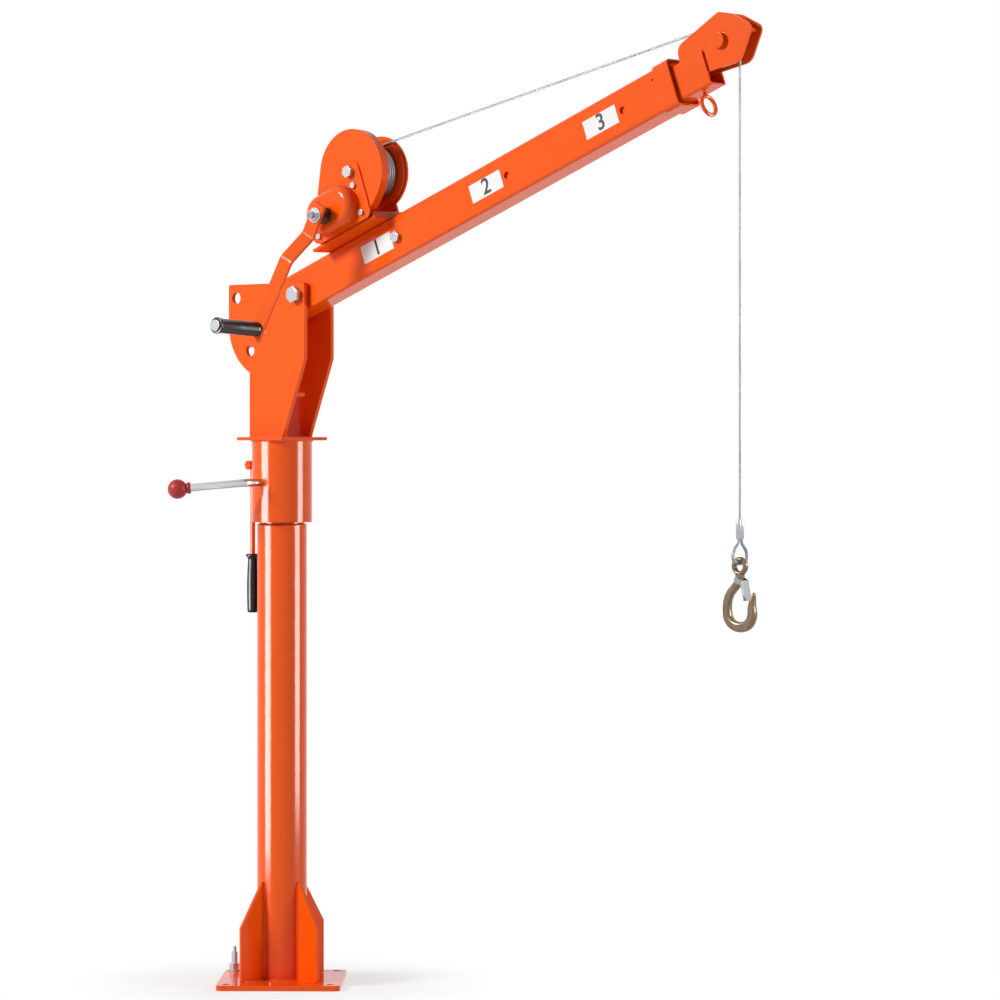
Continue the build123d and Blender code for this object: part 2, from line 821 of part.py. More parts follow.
with BuildPart() as gear_case:
    extrude(hull_of(boom_side(case_seat_y), case_circles), amount=case_depth)
    inner_circles = [(s, p, r - case_wall) for s, p, r in case_circles]
    extrude(hull_of(boom_side(case_seat_y), inner_circles), amount=case_depth - case_wall,
            mode=Mode.SUBTRACT)
    extrude(disc(boom_side(case_seat_y, drum_s, drum_p), axle_d + 2 * loose_gap), amount=case_depth,
            mode=Mode.SUBTRACT)
    extrude(disc(boom_side(case_seat_y, pinion_s, pinion_p), shaft_d + 2 * slide_gap), amount=case_depth,
            mode=Mode.SUBTRACT)
    for s, p in cover_bolt_points:
        extrude(disc(boom_side(case_seat_y, s, p), cover_bolt_d + 2 * run_gap), amount=case_depth,
                mode=Mode.SUBTRACT)
keep(gear_case.part, "gear_case")

# Pinion cover: a bolted plate with a pressed dome over the brake
with BuildPart() as dome:
    dome_circles = [(dome_back_s, dome_p, dome_r), (dome_front_s, dome_p, dome_r)]
    extrude(hull_of(boom_side(cover_face_y), dome_circles), amount=dome_h)
    fillet(dome.faces().sort_by(Axis.Y)[0].edges(), dome_edge_r)
    offset(amount=-case_wall, openings=dome.faces().sort_by(Axis.Y)[-1])

with BuildPart() as pinion_cover:
    extrude(hull_of(boom_side(case_face_y), [(cover_top_s, cover_top_p, cover_top_r),
                                             (cover_front_s, cover_low_p, cover_corner_r),
                                             (cover_back_s, cover_low_p, cover_corner_r)]), amount=cover_t)
    room_circles = [(s, p, r - case_wall) for s, p, r in dome_circles]
    extrude(hull_of(boom_side(case_face_y), room_circles), amount=cover_t, mode=Mode.SUBTRACT)
    add(dome.part)
    extrude(disc(boom_side(cover_face_y, pinion_s, pinion_p), shaft_d + 2 * run_gap), amount=2 * dome_h,
            mode=Mode.SUBTRACT)
    extrude(disc(boom_side(case_face_y, drum_s, drum_p), axle_d + 2 * loose_gap), amount=cover_t,
            mode=Mode.SUBTRACT)
    for s, p in cover_bolt_points:
        extrude(disc(boom_side(case_face_y, s, p), cover_bolt_d + 2 * run_gap), amount=cover_t,
                mode=Mode.SUBTRACT)
keep(pinion_cover.part, "pinion_cover")

with BuildPart() as cover_bolts:
    for s, p in cover_bolt_points:
        extrude(disc(boom_side(cover_face_y, s, p), cover_bolt_d), amount=-(cover_t + case_wall))
        extrude(hexagon(boom_side(cover_face_y, s, p), cover_bolt_af), amount=cover_bolt_head)
keep(cover_bolts.part, "cover_bolts")

with BuildPart() as drum_axle:
    extrude(disc(boom_side(cover_face_y, drum_s, drum_p), axle_d),
            amount=-(far_face_y - cover_face_y + axle_nut_h + axle_thread))
    extrude(hexagon(boom_side(cover_face_y, drum_s, drum_p), axle_af), amount=axle_head)
keep(drum_axle.part, "drum_axle")

with BuildPart() as axle_nut:
    extrude(hexagon(boom_side(far_face_y, drum_s, drum_p), axle_af), amount=-axle_nut_h)
    extrude(disc(boom_side(far_face_y, drum_s, drum_p), axle_d + 2 * run_gap), amount=-axle_nut_h,
            mode=Mode.SUBTRACT)
keep(axle_nut.part, "axle_nut")

# Brake inside the dome: a ratchet wheel held by its pawl
ratchet_y = cover_face_y - ratchet_in

with BuildPart() as ratchet_wheel:
    with BuildSketch(boom_side(ratchet_y, pinion_s, pinion_p)):
        with BuildLine():
            rim = []
            for tooth in range(ratchet_teeth):
                angle = 2 * math.pi * tooth / ratchet_teeth
                rim.append(polar(ratchet_r, angle))
                rim.append(polar(ratchet_r - ratchet_depth, angle))
            Polyline(*rim, close=True)
        make_face()
        Circle(shaft_d / 2 + run_gap, mode=Mode.SUBTRACT)
    extrude(amount=ratchet_t)
keep(ratchet_wheel.part, "ratchet_wheel")

with BuildPart() as ratchet_pawl:
    pawl_s = pinion_s + pawl_stand
    nose_s = ratchet_r + loose_gap - pawl_stand
    with BuildSketch(boom_side(ratchet_y, pawl_s, pinion_p)):
        Circle(pawl_r)
        with BuildLine():
            Polyline((0, pawl_r), (nose_s, 0), (0, -pawl_r), close=True)
        make_face()
    extrude(amount=ratchet_t)
    extrude(disc(boom_side(case_face_y, pawl_s, pinion_p), pawl_pin_d), amount=case_face_y - ratchet_y)
keep(ratchet_pawl.part, "ratchet_pawl")

# Drum with the hub that carries the gear through the near plate
drum_axis = at(drum_s, drum_p)
sheave_axis = at(sheave_s, sheave_p)
span_dx = sheave_axis.X - drum_axis.X
span_dz = sheave_axis.Z - drum_axis.Z
span_len = math.hypot(span_dx, span_dz)
rope_lean = math.asin((rope_lay_r - sheave_rope_r) / span_len)
rope_angle = math.atan2(span_dz, span_dx) - rope_lean
exit_angle = rope_angle + math.pi / 2
start_angle = exit_angle + rope_quarters * math.pi / 2


def lay_point(quarter):
    """Rope centre on the drum after so many quarter turns."""
    angle = start_angle - quarter * math.pi / 2
    y = (quarter - rope_quarters) * rope_pitch / 4
    return Vector(drum_axis.X + rope_lay_r * math.cos(angle), y, drum_axis.Z + rope_lay_r * math.sin(angle))


def lay_tangent(quarter):
    """Way the rope runs there; both ends run square to the axle."""
    angle = start_angle - quarter * math.pi / 2
    creep = 0 if quarter in (0, rope_quarters) else rope_pitch / (2 * math.pi)
    return Vector(rope_lay_r * math.sin(angle), creep, -rope_lay_r * math.cos(angle)).normalized()


def biarc_joint(p0, t0, p1, t1):
    """Middle point and tangent of the two arcs that join two placed tangents."""
    chord = p1 - p0
    turn = t0 + t1
    a = 4 - turn.dot(turn)
    b = 2 * chord.dot(turn)
    reach = (math.sqrt(b * b + 4 * a * chord.dot(chord)) - b) / (2 * a)
    first = p0 + t0 * reach
    last = p1 - t1 * reach
    return (first + last) * 0.5, (last - first).normalized()


lay_start = lay_point(0)
lay_end = lay_point(rope_quarters)
lead_in = lay_start - lay_tangent(0) * rope_d
lead_out = lay_end + lay_tangent(rope_quarters) * rope_d
barrel_near_y = drum_near_y + drum_flange_t
barrel_far_y = drum_far_y - drum_flange_t
hub_near_y = gear_far_y - gear_w

with BuildPart() as winch_drum:
    extrude(disc(boom_side(drum_far_y, drum_s, drum_p), 2 * barrel_r), amount=drum_w)
    for y in (drum_far_y, barrel_near_y):
        extrude(disc(boom_side(y, drum_s, drum_p), 2 * flange_r), amount=drum_flange_t)
    extrude(disc(boom_side(drum_near_y, drum_s, drum_p), hub_d), amount=drum_near_y - hub_near_y)
    lug_plane = Plane(origin=(drum_axis.X, barrel_near_y, drum_axis.Z), x_dir=lay_tangent(0),
                      z_dir=(0, 1, 0))
    with BuildSketch(lug_plane):
        with Locations((-rope_d - rope_lug_len / 2, -rope_lay_r + rope_d / 2 - rope_lug_h / 2)):
            Rectangle(rope_lug_len, rope_lug_h)
    extrude(amount=lay_start.Y + rope_d / 2 - barrel_near_y)
    extrude(disc(boom_side(drum_far_y, drum_s, drum_p), axle_d + 2 * run_gap),
            amount=drum_far_y - hub_near_y, mode=Mode.SUBTRACT)
keep(winch_drum.part, "winch_drum")

with BuildPart() as drum_gear:
    tooth_half = 180.0 / gear_teeth
    extrude(gear_face(boom_side(gear_far_y, drum_s, drum_p), gear_teeth, pinion_dir + tooth_half),
            amount=gear_w)
    extrude(disc(boom_side(gear_far_y, drum_s, drum_p), hub_d + 2 * run_gap), amount=gear_w,
            mode=Mode.SUBTRACT)
keep(drum_gear.part, "drum_gear")

with BuildPart() as rope_core:
    core_d = 2 * (rope_lay_r - rope_d / 2 - rope_core_gap)
    extrude(ring(boom_side(barrel_far_y - loose_gap, drum_s, drum_p), core_d, 2 * barrel_r + 2 * run_gap),
            amount=barrel_far_y - barrel_near_y - 2 * loose_gap)
keep(rope_core.part, "rope_core")

with BuildPart() as rope_winding:
    with BuildLine():
        Line(lead_in, lay_start)
        for quarter in range(rope_quarters):
            here = lay_point(quarter)
            there = lay_point(quarter + 1)
            middle, heading = biarc_joint(here, lay_tangent(quarter), there, lay_tangent(quarter + 1))
            TangentArc(here, middle, tangent=lay_tangent(quarter))
            TangentArc(middle, there, tangent=heading)
        Line(lay_end, lead_out)
    with BuildSketch(Plane(origin=lead_in, z_dir=lay_tangent(0))):
        Circle(rope_d / 2)
    sweep()
keep(rope_winding.part, "rope_winding")


def least_self_gap(steps=24):
    """Least distance between neighbouring turns, measured on points of the lay."""
    points = [lay_point(k / steps) for k in range(rope_quarters * steps + 1)]
    turn = 4 * steps
    near = []
    for k in range(len(points) - turn):
        for shift in range(-3, 4):
            if 0 <= k + turn + shift < len(points):
                near.append((points[k] - points[k + turn + shift]).length)
    return min(near) - rope_d


print("rope winding least self gap", round(least_self_gap(), 2), "mm")

# Rope from the drum over the sheave and down
sheave_touch = Vector(sheave_axis.X + sheave_rope_r * math.cos(exit_angle), 0,
                      sheave_axis.Z + sheave_rope_r * math.sin(exit_angle))
wrap_middle = Vector(sheave_axis.X + sheave_rope_r * math.cos(exit_angle / 2), 0,
                     sheave_axis.Z + sheave_rope_r * math.sin(exit_angle / 2))
fall_x = sheave_axis.X + sheave_rope_r
fall_top = Vector(fall_x, 0, sheave_axis.Z)

with BuildPart() as rope_span:
    extrude(disc(Plane(origin=lead_out, z_dir=sheave_touch - lead_out), rope_d),
            amount=(sheave_touch - lead_out).length)
keep(rope_span.part, "rope_span")

with BuildPart() as rope_wrap:
    with BuildLine():
        ThreePointArc(sheave_touch, wrap_middle, fall_top)
    with BuildSketch(Plane(origin=sheave_touch, z_dir=sheave_touch - lead_out)):
        Circle(rope_d / 2)
    sweep()
keep(rope_wrap.part, "rope_wrap")

with BuildPart() as rope_fall:
    extrude(disc(level(ferrule_top, fall_x), rope_d), amount=fall_top.Z - ferrule_top)
keep(rope_fall.part, "rope_fall")

# Crank: pinion shaft, collar, joggled arm, nut and grip spindle
shaft_far_y = near_plate_y + loose_gap + shaft_ring_t

with BuildPart() as pinion_shaft:
    extrude(disc(boom_side(shaft_far_y, pinion_s, pinion_p), shaft_ring_d), amount=shaft_ring_t)
    extrude(disc(boom_side(shaft_far_y, pinion_s, pinion_p), shaft_d), amount=shaft_far_y - arm_near_y)
    extrude(gear_face(boom_side(gear_far_y, pinion_s, pinion_p), pinion_teeth, pinion_dir - 180.0),
            amount=gear_w)
    extrude(disc(boom_side(arm_near_y, pinion_s, pinion_p), crank_thread_d),
            amount=crank_nut_h + crank_thread_out)
keep(pinion_shaft.part, "pinion_shaft")

with BuildPart() as crank_collar:
    extrude(ring(boom_side(dome_face_y - loose_gap, pinion_s, pinion_p), crank_collar_d,
                 shaft_d + 2 * run_gap), amount=collar_out - loose_gap)
    fillet(crank_collar.edges().group_by(Axis.Y)[-1].sort_by(SortBy.RADIUS)[-1], crank_collar_r)
keep(crank_collar.part, "crank_collar")

crank_axis = at(pinion_s, pinion_p)
crank_turn = math.radians(boom_deg + crank_deg)
crank_dir = Vector(math.cos(crank_turn), 0, math.sin(crank_turn))
crank_flat = Vector(crank_dir.Z, 0, -crank_dir.X)
lean = math.radians(crank_lean)
out_dir = Vector(0, -1, 0)
grip_dir = out_dir * math.cos(lean) - crank_dir * math.sin(lean)
joggle_out = crank_joggle - arm_far_y
grip_out = joggle_out + (crank_r - crank_joggle_to) * math.tan(lean)
tip_out = joggle_out + (crank_r + crank_end - crank_joggle_to) * math.tan(lean)
grip_seat = crank_axis + crank_dir * crank_r + out_dir * grip_out


def grip_side(along):
    """Plane across the grip's axis, so far out from the arm's inner face."""
    return Plane(origin=grip_seat + grip_dir * along, x_dir=crank_flat, z_dir=grip_dir)


with BuildPart() as crank_arm:
    with BuildSketch(Plane(origin=crank_axis, x_dir=crank_dir, z_dir=crank_flat)):
        with BuildLine():
            FilletPolyline((-crank_end, -arm_far_y), (crank_joggle_from, -arm_far_y),
                           (crank_joggle_to, joggle_out), (crank_r + crank_end, tip_out),
                           radius=crank_bend_r)
            offset(amount=crank_t, side=Side.LEFT)
        make_face()
    extrude(amount=crank_w / 2, both=True)
    fillet(crank_arm.edges().filter_by(lambda edge: abs(edge.length - crank_t) < run_gap), crank_corner_r)
    extrude(disc(boom_side(0, pinion_s, pinion_p), shaft_d + 2 * run_gap), amount=-2 * arm_near_y,
            mode=Mode.SUBTRACT)
    extrude(disc(grip_side(-crank_t), spindle_d + 2 * run_gap), amount=3 * crank_t, mode=Mode.SUBTRACT)
keep(crank_arm.part, "crank_arm")

with BuildPart() as crank_nut:
    extrude(hexagon(boom_side(arm_near_y, pinion_s, pinion_p), crank_nut_af), amount=crank_nut_h)
    extrude(disc(boom_side(arm_near_y, pinion_s, pinion_p), crank_thread_d + 2 * run_gap),
            amount=crank_nut_h, mode=Mode.SUBTRACT)
keep(crank_nut.part, "crank_nut")

grip_start = crank_t + loose_gap
grip_finish = grip_start + crank_grip_len

with BuildPart() as grip_spindle:
    extrude(hexagon(grip_side(0), spindle_af), amount=-spindle_head)
    extrude(disc(grip_side(0), spindle_d), amount=grip_finish + loose_gap)
    extrude(disc(grip_side(grip_finish + loose_gap), spindle_cap_d), amount=spindle_cap_t)
keep(grip_spindle.part, "grip_spindle")

with BuildPart() as crank_grip:
    extrude(disc(grip_side(grip_start), crank_grip_d), amount=crank_grip_len)
    extrude(disc(grip_side(grip_finish), crank_flange_d), amount=-crank_flange_t)
    extrude(disc(grip_side(grip_start), spindle_d + 2 * run_gap), amount=crank_grip_len,
            mode=Mode.SUBTRACT)
keep(crank_grip.part, "crank_grip")

# Inner boom: a tube that rests on the reach pin, with the sheave head in its slotted end
inner_mid = boom_mid - boom_h / 2 + boom_wall + loose_gap + inner_h / 2
inner_start = reach_first - inner_back
inner_len = inner_front - inner_start

with BuildPart() as inner_tube:
    extrude(rounded_box(boom_cut(inner_start, inner_mid), inner_w, inner_h, inner_r), amount=inner_len)
    extrude(rounded_box(boom_cut(inner_start, inner_mid), inner_w - 2 * inner_wall, inner_h - 2 * inner_wall,
                        inner_r - inner_wall), amount=inner_len, mode=Mode.SUBTRACT)
    with BuildSketch(boom_side(inner_w)):
        with Locations((reach_first - inner_back / 2, boom_mid)):
            Rectangle(inner_back, reach_hole_d)
        with Locations((reach_first, boom_mid)):
            Circle(reach_hole_d / 2)
    extrude(amount=2 * inner_w, mode=Mode.SUBTRACT)
    with BuildSketch(boom_cut(head_slot_back, inner_mid)):
        with Locations((0, inner_h / 2)):
            Rectangle(head_w, 2 * inner_wall + 2 * run_gap)
    extrude(amount=inner_front - head_slot_back, mode=Mode.SUBTRACT)
keep(inner_tube.part, "inner_tube")

head_tail_s = head_slot_back + head_tail_in
head_corners = [(head_tail_s, head_tail_p, head_edge_r),
                (head_slot_back + head_rise_in, head_rise_p, head_rise_r),
                (sheave_s + head_crown_out, head_crown_p, head_crown_r),
                (sheave_s + head_brow_out, head_brow_p, head_brow_r),
                (keeper_s + head_tip_out, keeper_p, head_tip_r),
                (sheave_s + head_chin_out, head_chin_p, head_chin_r),
                (inner_front, head_low_p, head_edge_r), (head_tail_s, head_low_p, head_edge_r)]


def head_face(plane):
    with BuildSketch(plane) as shape:
        with BuildLine():
            FilletPolyline(*[(s, p) for s, p, r in head_corners], radius=[r for s, p, r in head_corners],
                           close=True)
        make_face()
        with Locations((sheave_s, sheave_p)):
            Circle(sheave_axle_d / 2 + run_gap, mode=Mode.SUBTRACT)
        with Locations((keeper_s, keeper_p)):
            Circle(keeper_d / 2 + run_gap, mode=Mode.SUBTRACT)
    return shape.sketch


with BuildPart() as head_plates:
    for y in (head_half, -head_half + head_t):
        extrude(head_face(boom_side(y)), amount=head_t)
keep(head_plates.part, "head_plates")

with BuildPart() as sheave_axle:
    extrude(disc(boom_side(head_half + sheave_tail_t, sheave_s, sheave_p), sheave_tail_d),
            amount=sheave_tail_t)
    extrude(disc(boom_side(head_half, sheave_s, sheave_p), sheave_axle_d), amount=head_w)
    extrude(disc(boom_side(-head_half, sheave_s, sheave_p), sheave_head_d), amount=sheave_head_t)
keep(sheave_axle.part, "sheave_axle")

with BuildPart() as keeper_pin:
    extrude(disc(boom_side(head_half, keeper_s, keeper_p), keeper_d), amount=head_w)
keep(keeper_pin.part, "keeper_pin")

with BuildPart() as ring_eye:
    inner_low = inner_mid - inner_h / 2
    ring_p = inner_low - ring_neck - ring_bar_d / 2 - ring_r
    with BuildSketch(boom_side(0, ring_s, ring_p)):
        with Locations((0, -ring_r)):
            Circle(ring_bar_d / 2)
    revolve(axis=Axis(at(ring_s, ring_p), boom_dir))
    neck_seat = Plane(origin=at(ring_s, inner_low), x_dir=(0, 1, 0), z_dir=(boom_s, 0, -boom_c))
    extrude(disc(neck_seat, ring_neck_d), amount=ring_neck + ring_bar_d / 2)
keep(ring_eye.part, "ring_eye")

with BuildPart() as sheave:
    groove_r = sheave_rope_r - rope_d / 2 - loose_gap
    groove_half = rope_d / 2 + loose_gap
    bore_r = sheave_axle_d / 2 + run_gap
    side = sheave_w / 2
    with BuildSketch(Plane(origin=sheave_axis, x_dir=boom_dir, z_dir=(-boom_s, 0, boom_c))):
        with BuildLine():
            Polyline((bore_r, -side), (sheave_rim_r, -side), (sheave_rim_r, -side + sheave_lip),
                     (groove_r, -groove_half), (groove_r, groove_half), (sheave_rim_r, side - sheave_lip),
                     (sheave_rim_r, side), (bore_r, side), close=True)
        make_face()
    revolve(axis=Axis(sheave_axis, (0, 1, 0)))
keep(sheave.part, "sheave")

# Rope end: pressed ferrule and the eye that the hook hangs in
with BuildPart() as rope_ferrule:
    with BuildSketch(level(ferrule_top - ferrule_h, fall_x)):
        SlotOverall(ferrule_w, ferrule_t, rotation=90)
    extrude(amount=ferrule_h)
keep(rope_ferrule.part, "rope_ferrule")

with BuildPart() as rope_eye:
    eye_top = ferrule_top - ferrule_h
    bend = loop_half - run_gap
    with BuildLine(Plane(origin=(fall_x, 0, 0), x_dir=(0, 1, 0), z_dir=(1, 0, 0))):
        FilletPolyline((-loop_leg, eye_top), (-loop_leg, eye_top - loop_lead), (-loop_half, loop_shoulder),
                       (-loop_half, loop_bottom), (loop_half, loop_bottom), (loop_half, loop_shoulder),
                       (loop_leg, eye_top - loop_lead), (loop_leg, eye_top),
                       radius=[loop_rope_d, loop_rope_d, bend, bend, loop_rope_d, loop_rope_d])
    with BuildSketch(Plane(origin=(fall_x, -loop_leg, eye_top), x_dir=(1, 0, 0), z_dir=(0, 0, -1))):
        Circle(loop_rope_d / 2)
    sweep()
keep(rope_eye.part, "rope_eye")

# Hook: an eye, a bent bar and a sprung latch
hook_eye_z = loop_bottom + loop_rope_d / 2 + hook_seat_gap - hook_hole_r
bowl_z = hook_bottom + hook_bar_r
latch_z = hook_eye_z - latch_drop

with BuildPart() as hook:
    with BuildLine(Plane(origin=(fall_x, 0, 0), x_dir=(1, 0, 0), z_dir=(0, -1, 0))):
        FilletPolyline((0, hook_eye_z - hook_eye_r + hook_bar_r / 2),
                       (-hook_neck_lean, hook_eye_z - hook_neck_drop),
                       (-hook_bowl_r, hook_eye_z - hook_back_drop), (-hook_bowl_r, bowl_z),
                       (hook_bowl_r, bowl_z), (hook_bowl_r, bowl_z + hook_tip_rise),
                       (hook_bowl_r - hook_tip_lean, bowl_z + hook_tip_top),
                       radius=[hook_bar_r, hook_bar_r * 2, hook_bowl_r - run_gap, hook_bowl_r - run_gap,
                               hook_bar_r])
    start = Vector(fall_x, 0, hook_eye_z - hook_eye_r + hook_bar_r / 2)
    first_leg = Vector(-hook_neck_lean, 0, hook_eye_r - hook_bar_r / 2 - hook_neck_drop)
    with BuildSketch(Plane(origin=start, z_dir=first_leg)):
        Circle(hook_bar_r)
    sweep()
    with Locations((fall_x + hook_bowl_r - hook_tip_lean, 0, bowl_z + hook_tip_top)):
        Sphere(hook_bar_r)
    extrude(disc(mast_side(hook_eye_t / 2, fall_x, hook_eye_z), 2 * hook_eye_r), amount=hook_eye_t)
    extrude(disc(mast_side(hook_bar_r * 2, fall_x, hook_eye_z), 2 * hook_hole_r), amount=hook_bar_r * 4,
            mode=Mode.SUBTRACT)
    extrude(disc(mast_side(hook_bar_r * 2, fall_x, latch_z), latch_pin_d + 2 * run_gap),
            amount=hook_bar_r * 4, mode=Mode.SUBTRACT)
keep(hook.part, "hook")

with BuildPart() as hook_latch:
    ear_y = hook_bar_r + loose_gap
    latch_half = ear_y + latch_ear_t
    latch_face_x = hook_bar_r + loose_gap + latch_plate_t
    extrude(disc(mast_side(latch_half, fall_x, latch_z), latch_pin_d), amount=2 * latch_half)
    for y in (latch_half, -ear_y):
        with BuildSketch(mast_side(y, fall_x, latch_z)):
            Circle(latch_ear_r)
            with BuildLine():
                Polyline((0, latch_ear_r), (latch_face_x, 0), (latch_face_x + latch_flare, -2 * latch_ear_r),
                         (0, -latch_ear_r), close=True)
            make_face()
        extrude(amount=latch_ear_t)
    with BuildSketch(mast_side(latch_half, fall_x, latch_z)):
        with BuildLine():
            Polyline((latch_face_x - latch_plate_t, 0), (latch_face_x, 0),
                     (hook_bowl_r - hook_bar_r - 2 * loose_gap, -latch_reach),
                     (hook_bowl_r - hook_bar_r - 2 * loose_gap - latch_plate_t, -latch_reach), close=True)
        make_face()
    extrude(amount=2 * latch_half)
keep(hook_latch.part, "hook_latch")
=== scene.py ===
import bpy
import bmesh
import json
import math
from mathutils import Matrix, Vector


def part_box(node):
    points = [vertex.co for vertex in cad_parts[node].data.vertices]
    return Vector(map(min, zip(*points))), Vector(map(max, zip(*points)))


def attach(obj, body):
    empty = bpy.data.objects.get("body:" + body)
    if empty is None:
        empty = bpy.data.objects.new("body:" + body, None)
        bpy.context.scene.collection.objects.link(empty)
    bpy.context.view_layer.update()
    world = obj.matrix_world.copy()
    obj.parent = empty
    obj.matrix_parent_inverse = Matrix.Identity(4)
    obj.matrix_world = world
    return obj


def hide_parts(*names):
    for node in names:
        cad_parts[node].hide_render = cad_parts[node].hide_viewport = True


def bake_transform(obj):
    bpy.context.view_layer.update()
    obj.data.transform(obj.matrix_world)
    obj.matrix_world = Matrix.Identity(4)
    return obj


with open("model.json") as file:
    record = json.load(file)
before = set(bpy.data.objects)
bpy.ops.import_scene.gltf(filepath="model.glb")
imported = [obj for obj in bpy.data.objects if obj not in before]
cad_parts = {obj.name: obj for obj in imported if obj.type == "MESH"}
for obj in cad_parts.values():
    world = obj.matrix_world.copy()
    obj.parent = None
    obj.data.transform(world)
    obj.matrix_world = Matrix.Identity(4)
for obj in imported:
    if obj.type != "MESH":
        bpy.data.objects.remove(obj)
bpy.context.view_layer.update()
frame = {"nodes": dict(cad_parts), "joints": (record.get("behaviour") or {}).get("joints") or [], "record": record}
nodes = frame["nodes"]
scene = bpy.context.scene
slotOf = {part["node"]: part["material_slot"] for part in frame["record"]["subparts"]}
bodyOf = {node: body for body, members in frame["record"]["behaviour"]["bodies"].items() for node in members}
jointAt = {joint["name"]: joint for joint in frame["joints"]}
mm = 0.001
fullTurn = 2 * math.pi
crossY = Vector((0, 1, 0))
upright = Vector((0, 0, 1))
print("frame:", len(nodes), "nodes")

# Camera, from the photograph's view: level, and this many degrees round from the crank's side
cameraSpec = {"azimuth": 42.0, "distance": 7.2, "across": 0.3915, "height": 0.977,
              "lens": 144.32, "sensor": 36.0, "shiftY": -0.061}
cameraTurn = math.radians(cameraSpec["azimuth"])
viewRight = Vector((math.cos(cameraTurn), math.sin(cameraTurn), 0))
viewAway = Vector((-math.sin(cameraTurn), math.cos(cameraTurn), 0))
cameraData = bpy.data.cameras.new("camera")
cameraData.lens = cameraSpec["lens"]
cameraData.sensor_width = cameraSpec["sensor"]
cameraData.shift_y = cameraSpec["shiftY"]
camera = bpy.data.objects.new("camera", cameraData)
camera.location = (viewRight * cameraSpec["across"] - viewAway * cameraSpec["distance"]
                   + upright * cameraSpec["height"])
camera.rotation_euler = (math.radians(90), 0, cameraTurn)
scene.collection.objects.link(camera)
scene.camera = camera
scene.view_settings.view_transform = "Standard"


def hexColour(code):
    channels = [int(code[k:k + 2], 16) / 255 for k in (1, 3, 5)]
    return tuple(c / 12.92 if c <= 0.04045 else ((c + 0.055) / 1.055) ** 2.4 for c in channels) + (1.0,)


def addNode(tree, kind, settings=None, links=None):
    node = tree.nodes.new(kind)
    for key, value in (settings or {}).items():
        if isinstance(key, str) and hasattr(node, key):
            setattr(node, key, value)
        else:
            node.inputs[key].default_value = value
    for key, source in (links or {}).items():
        tree.links.new(source, node.inputs[key])
    return node


def newMaterial(name):
    material = bpy.data.materials.new(name)
    material.use_nodes = True
    tree = material.node_tree
    tree.nodes.clear()
    coords = addNode(tree, "ShaderNodeTexCoord")
    return material, tree, coords.outputs["Object"]


def closeMaterial(tree, shader):
    addNode(tree, "ShaderNodeOutputMaterial", links={"Surface": shader.outputs[0]})


# Stage: a white surround for the camera and for mirror-like metal, and a pale floor that keeps the shadow
stageSpec = {"floor": 30.0, "floorColour": "#FAFAFA", "white": (1, 1, 1, 1), "worldLight": 0.05,
             "shadowFrom": 0.12, "shadowTo": 0.42, "shadowShare": 0.36}


def seenRays(tree):
    rays = addNode(tree, "ShaderNodeLightPath")
    mirrored = addNode(tree, "ShaderNodeMath", {"operation": "MAXIMUM"},
                       {0: rays.outputs["Is Glossy Ray"], 1: rays.outputs["Is Transmission Ray"]})
    return addNode(tree, "ShaderNodeMath", {"operation": "MAXIMUM"},
                   {0: rays.outputs["Is Camera Ray"], 1: mirrored.outputs[0]})


world = bpy.data.worlds.new("studio")
scene.world = world
world.use_nodes = True
worldTree = world.node_tree
worldTree.nodes.clear()
dome = addNode(worldTree, "ShaderNodeBackground",
               {"Color": stageSpec["white"], "Strength": stageSpec["worldLight"]})
whiteDome = addNode(worldTree, "ShaderNodeBackground", {"Color": stageSpec["white"], "Strength": 1.0})
domeMix = addNode(worldTree, "ShaderNodeMixShader", {},
                  {0: seenRays(worldTree).outputs[0], 1: dome.outputs[0], 2: whiteDome.outputs[0]})
addNode(worldTree, "ShaderNodeOutputWorld", links={"Surface": domeMix.outputs[0]})

floorMaterial, floorTree, floorPlace = newMaterial("palePaintedFloor")
floorPaint = addNode(floorTree, "ShaderNodeBsdfDiffuse", {"Color": hexColour(stageSpec["floorColour"])})
floorWhite = addNode(floorTree, "ShaderNodeEmission", {"Color": stageSpec["white"], "Strength": 1.0})
fromBase = addNode(floorTree, "ShaderNodeVectorMath", {"operation": "LENGTH"}, {0: floorPlace})
fade = addNode(floorTree, "ShaderNodeMapRange",
               {"interpolation_type": "SMOOTHSTEP", "From Min": stageSpec["shadowFrom"],
                "From Max": stageSpec["shadowTo"], "To Min": 1 - stageSpec["shadowShare"], "To Max": 1.0},
               {"Value": fromBase.outputs["Value"]})
shown = addNode(floorTree, "ShaderNodeMath", {"operation": "MULTIPLY"},
                {0: seenRays(floorTree).outputs[0], 1: fade.outputs[0]})
floorMix = addNode(floorTree, "ShaderNodeMixShader", {},
                   {0: shown.outputs[0], 1: floorPaint.outputs[0], 2: floorWhite.outputs[0]})
closeMaterial(floorTree, floorMix)
floorShape = bmesh.new()
bmesh.ops.create_grid(floorShape, x_segments=1, y_segments=1, size=stageSpec["floor"])
floorMesh = bpy.data.meshes.new("floor")
floorShape.to_mesh(floorMesh)
floorShape.free()
floorMesh.materials.append(floorMaterial)
floor = bpy.data.objects.new("floor", floorMesh)
scene.collection.objects.link(floor)

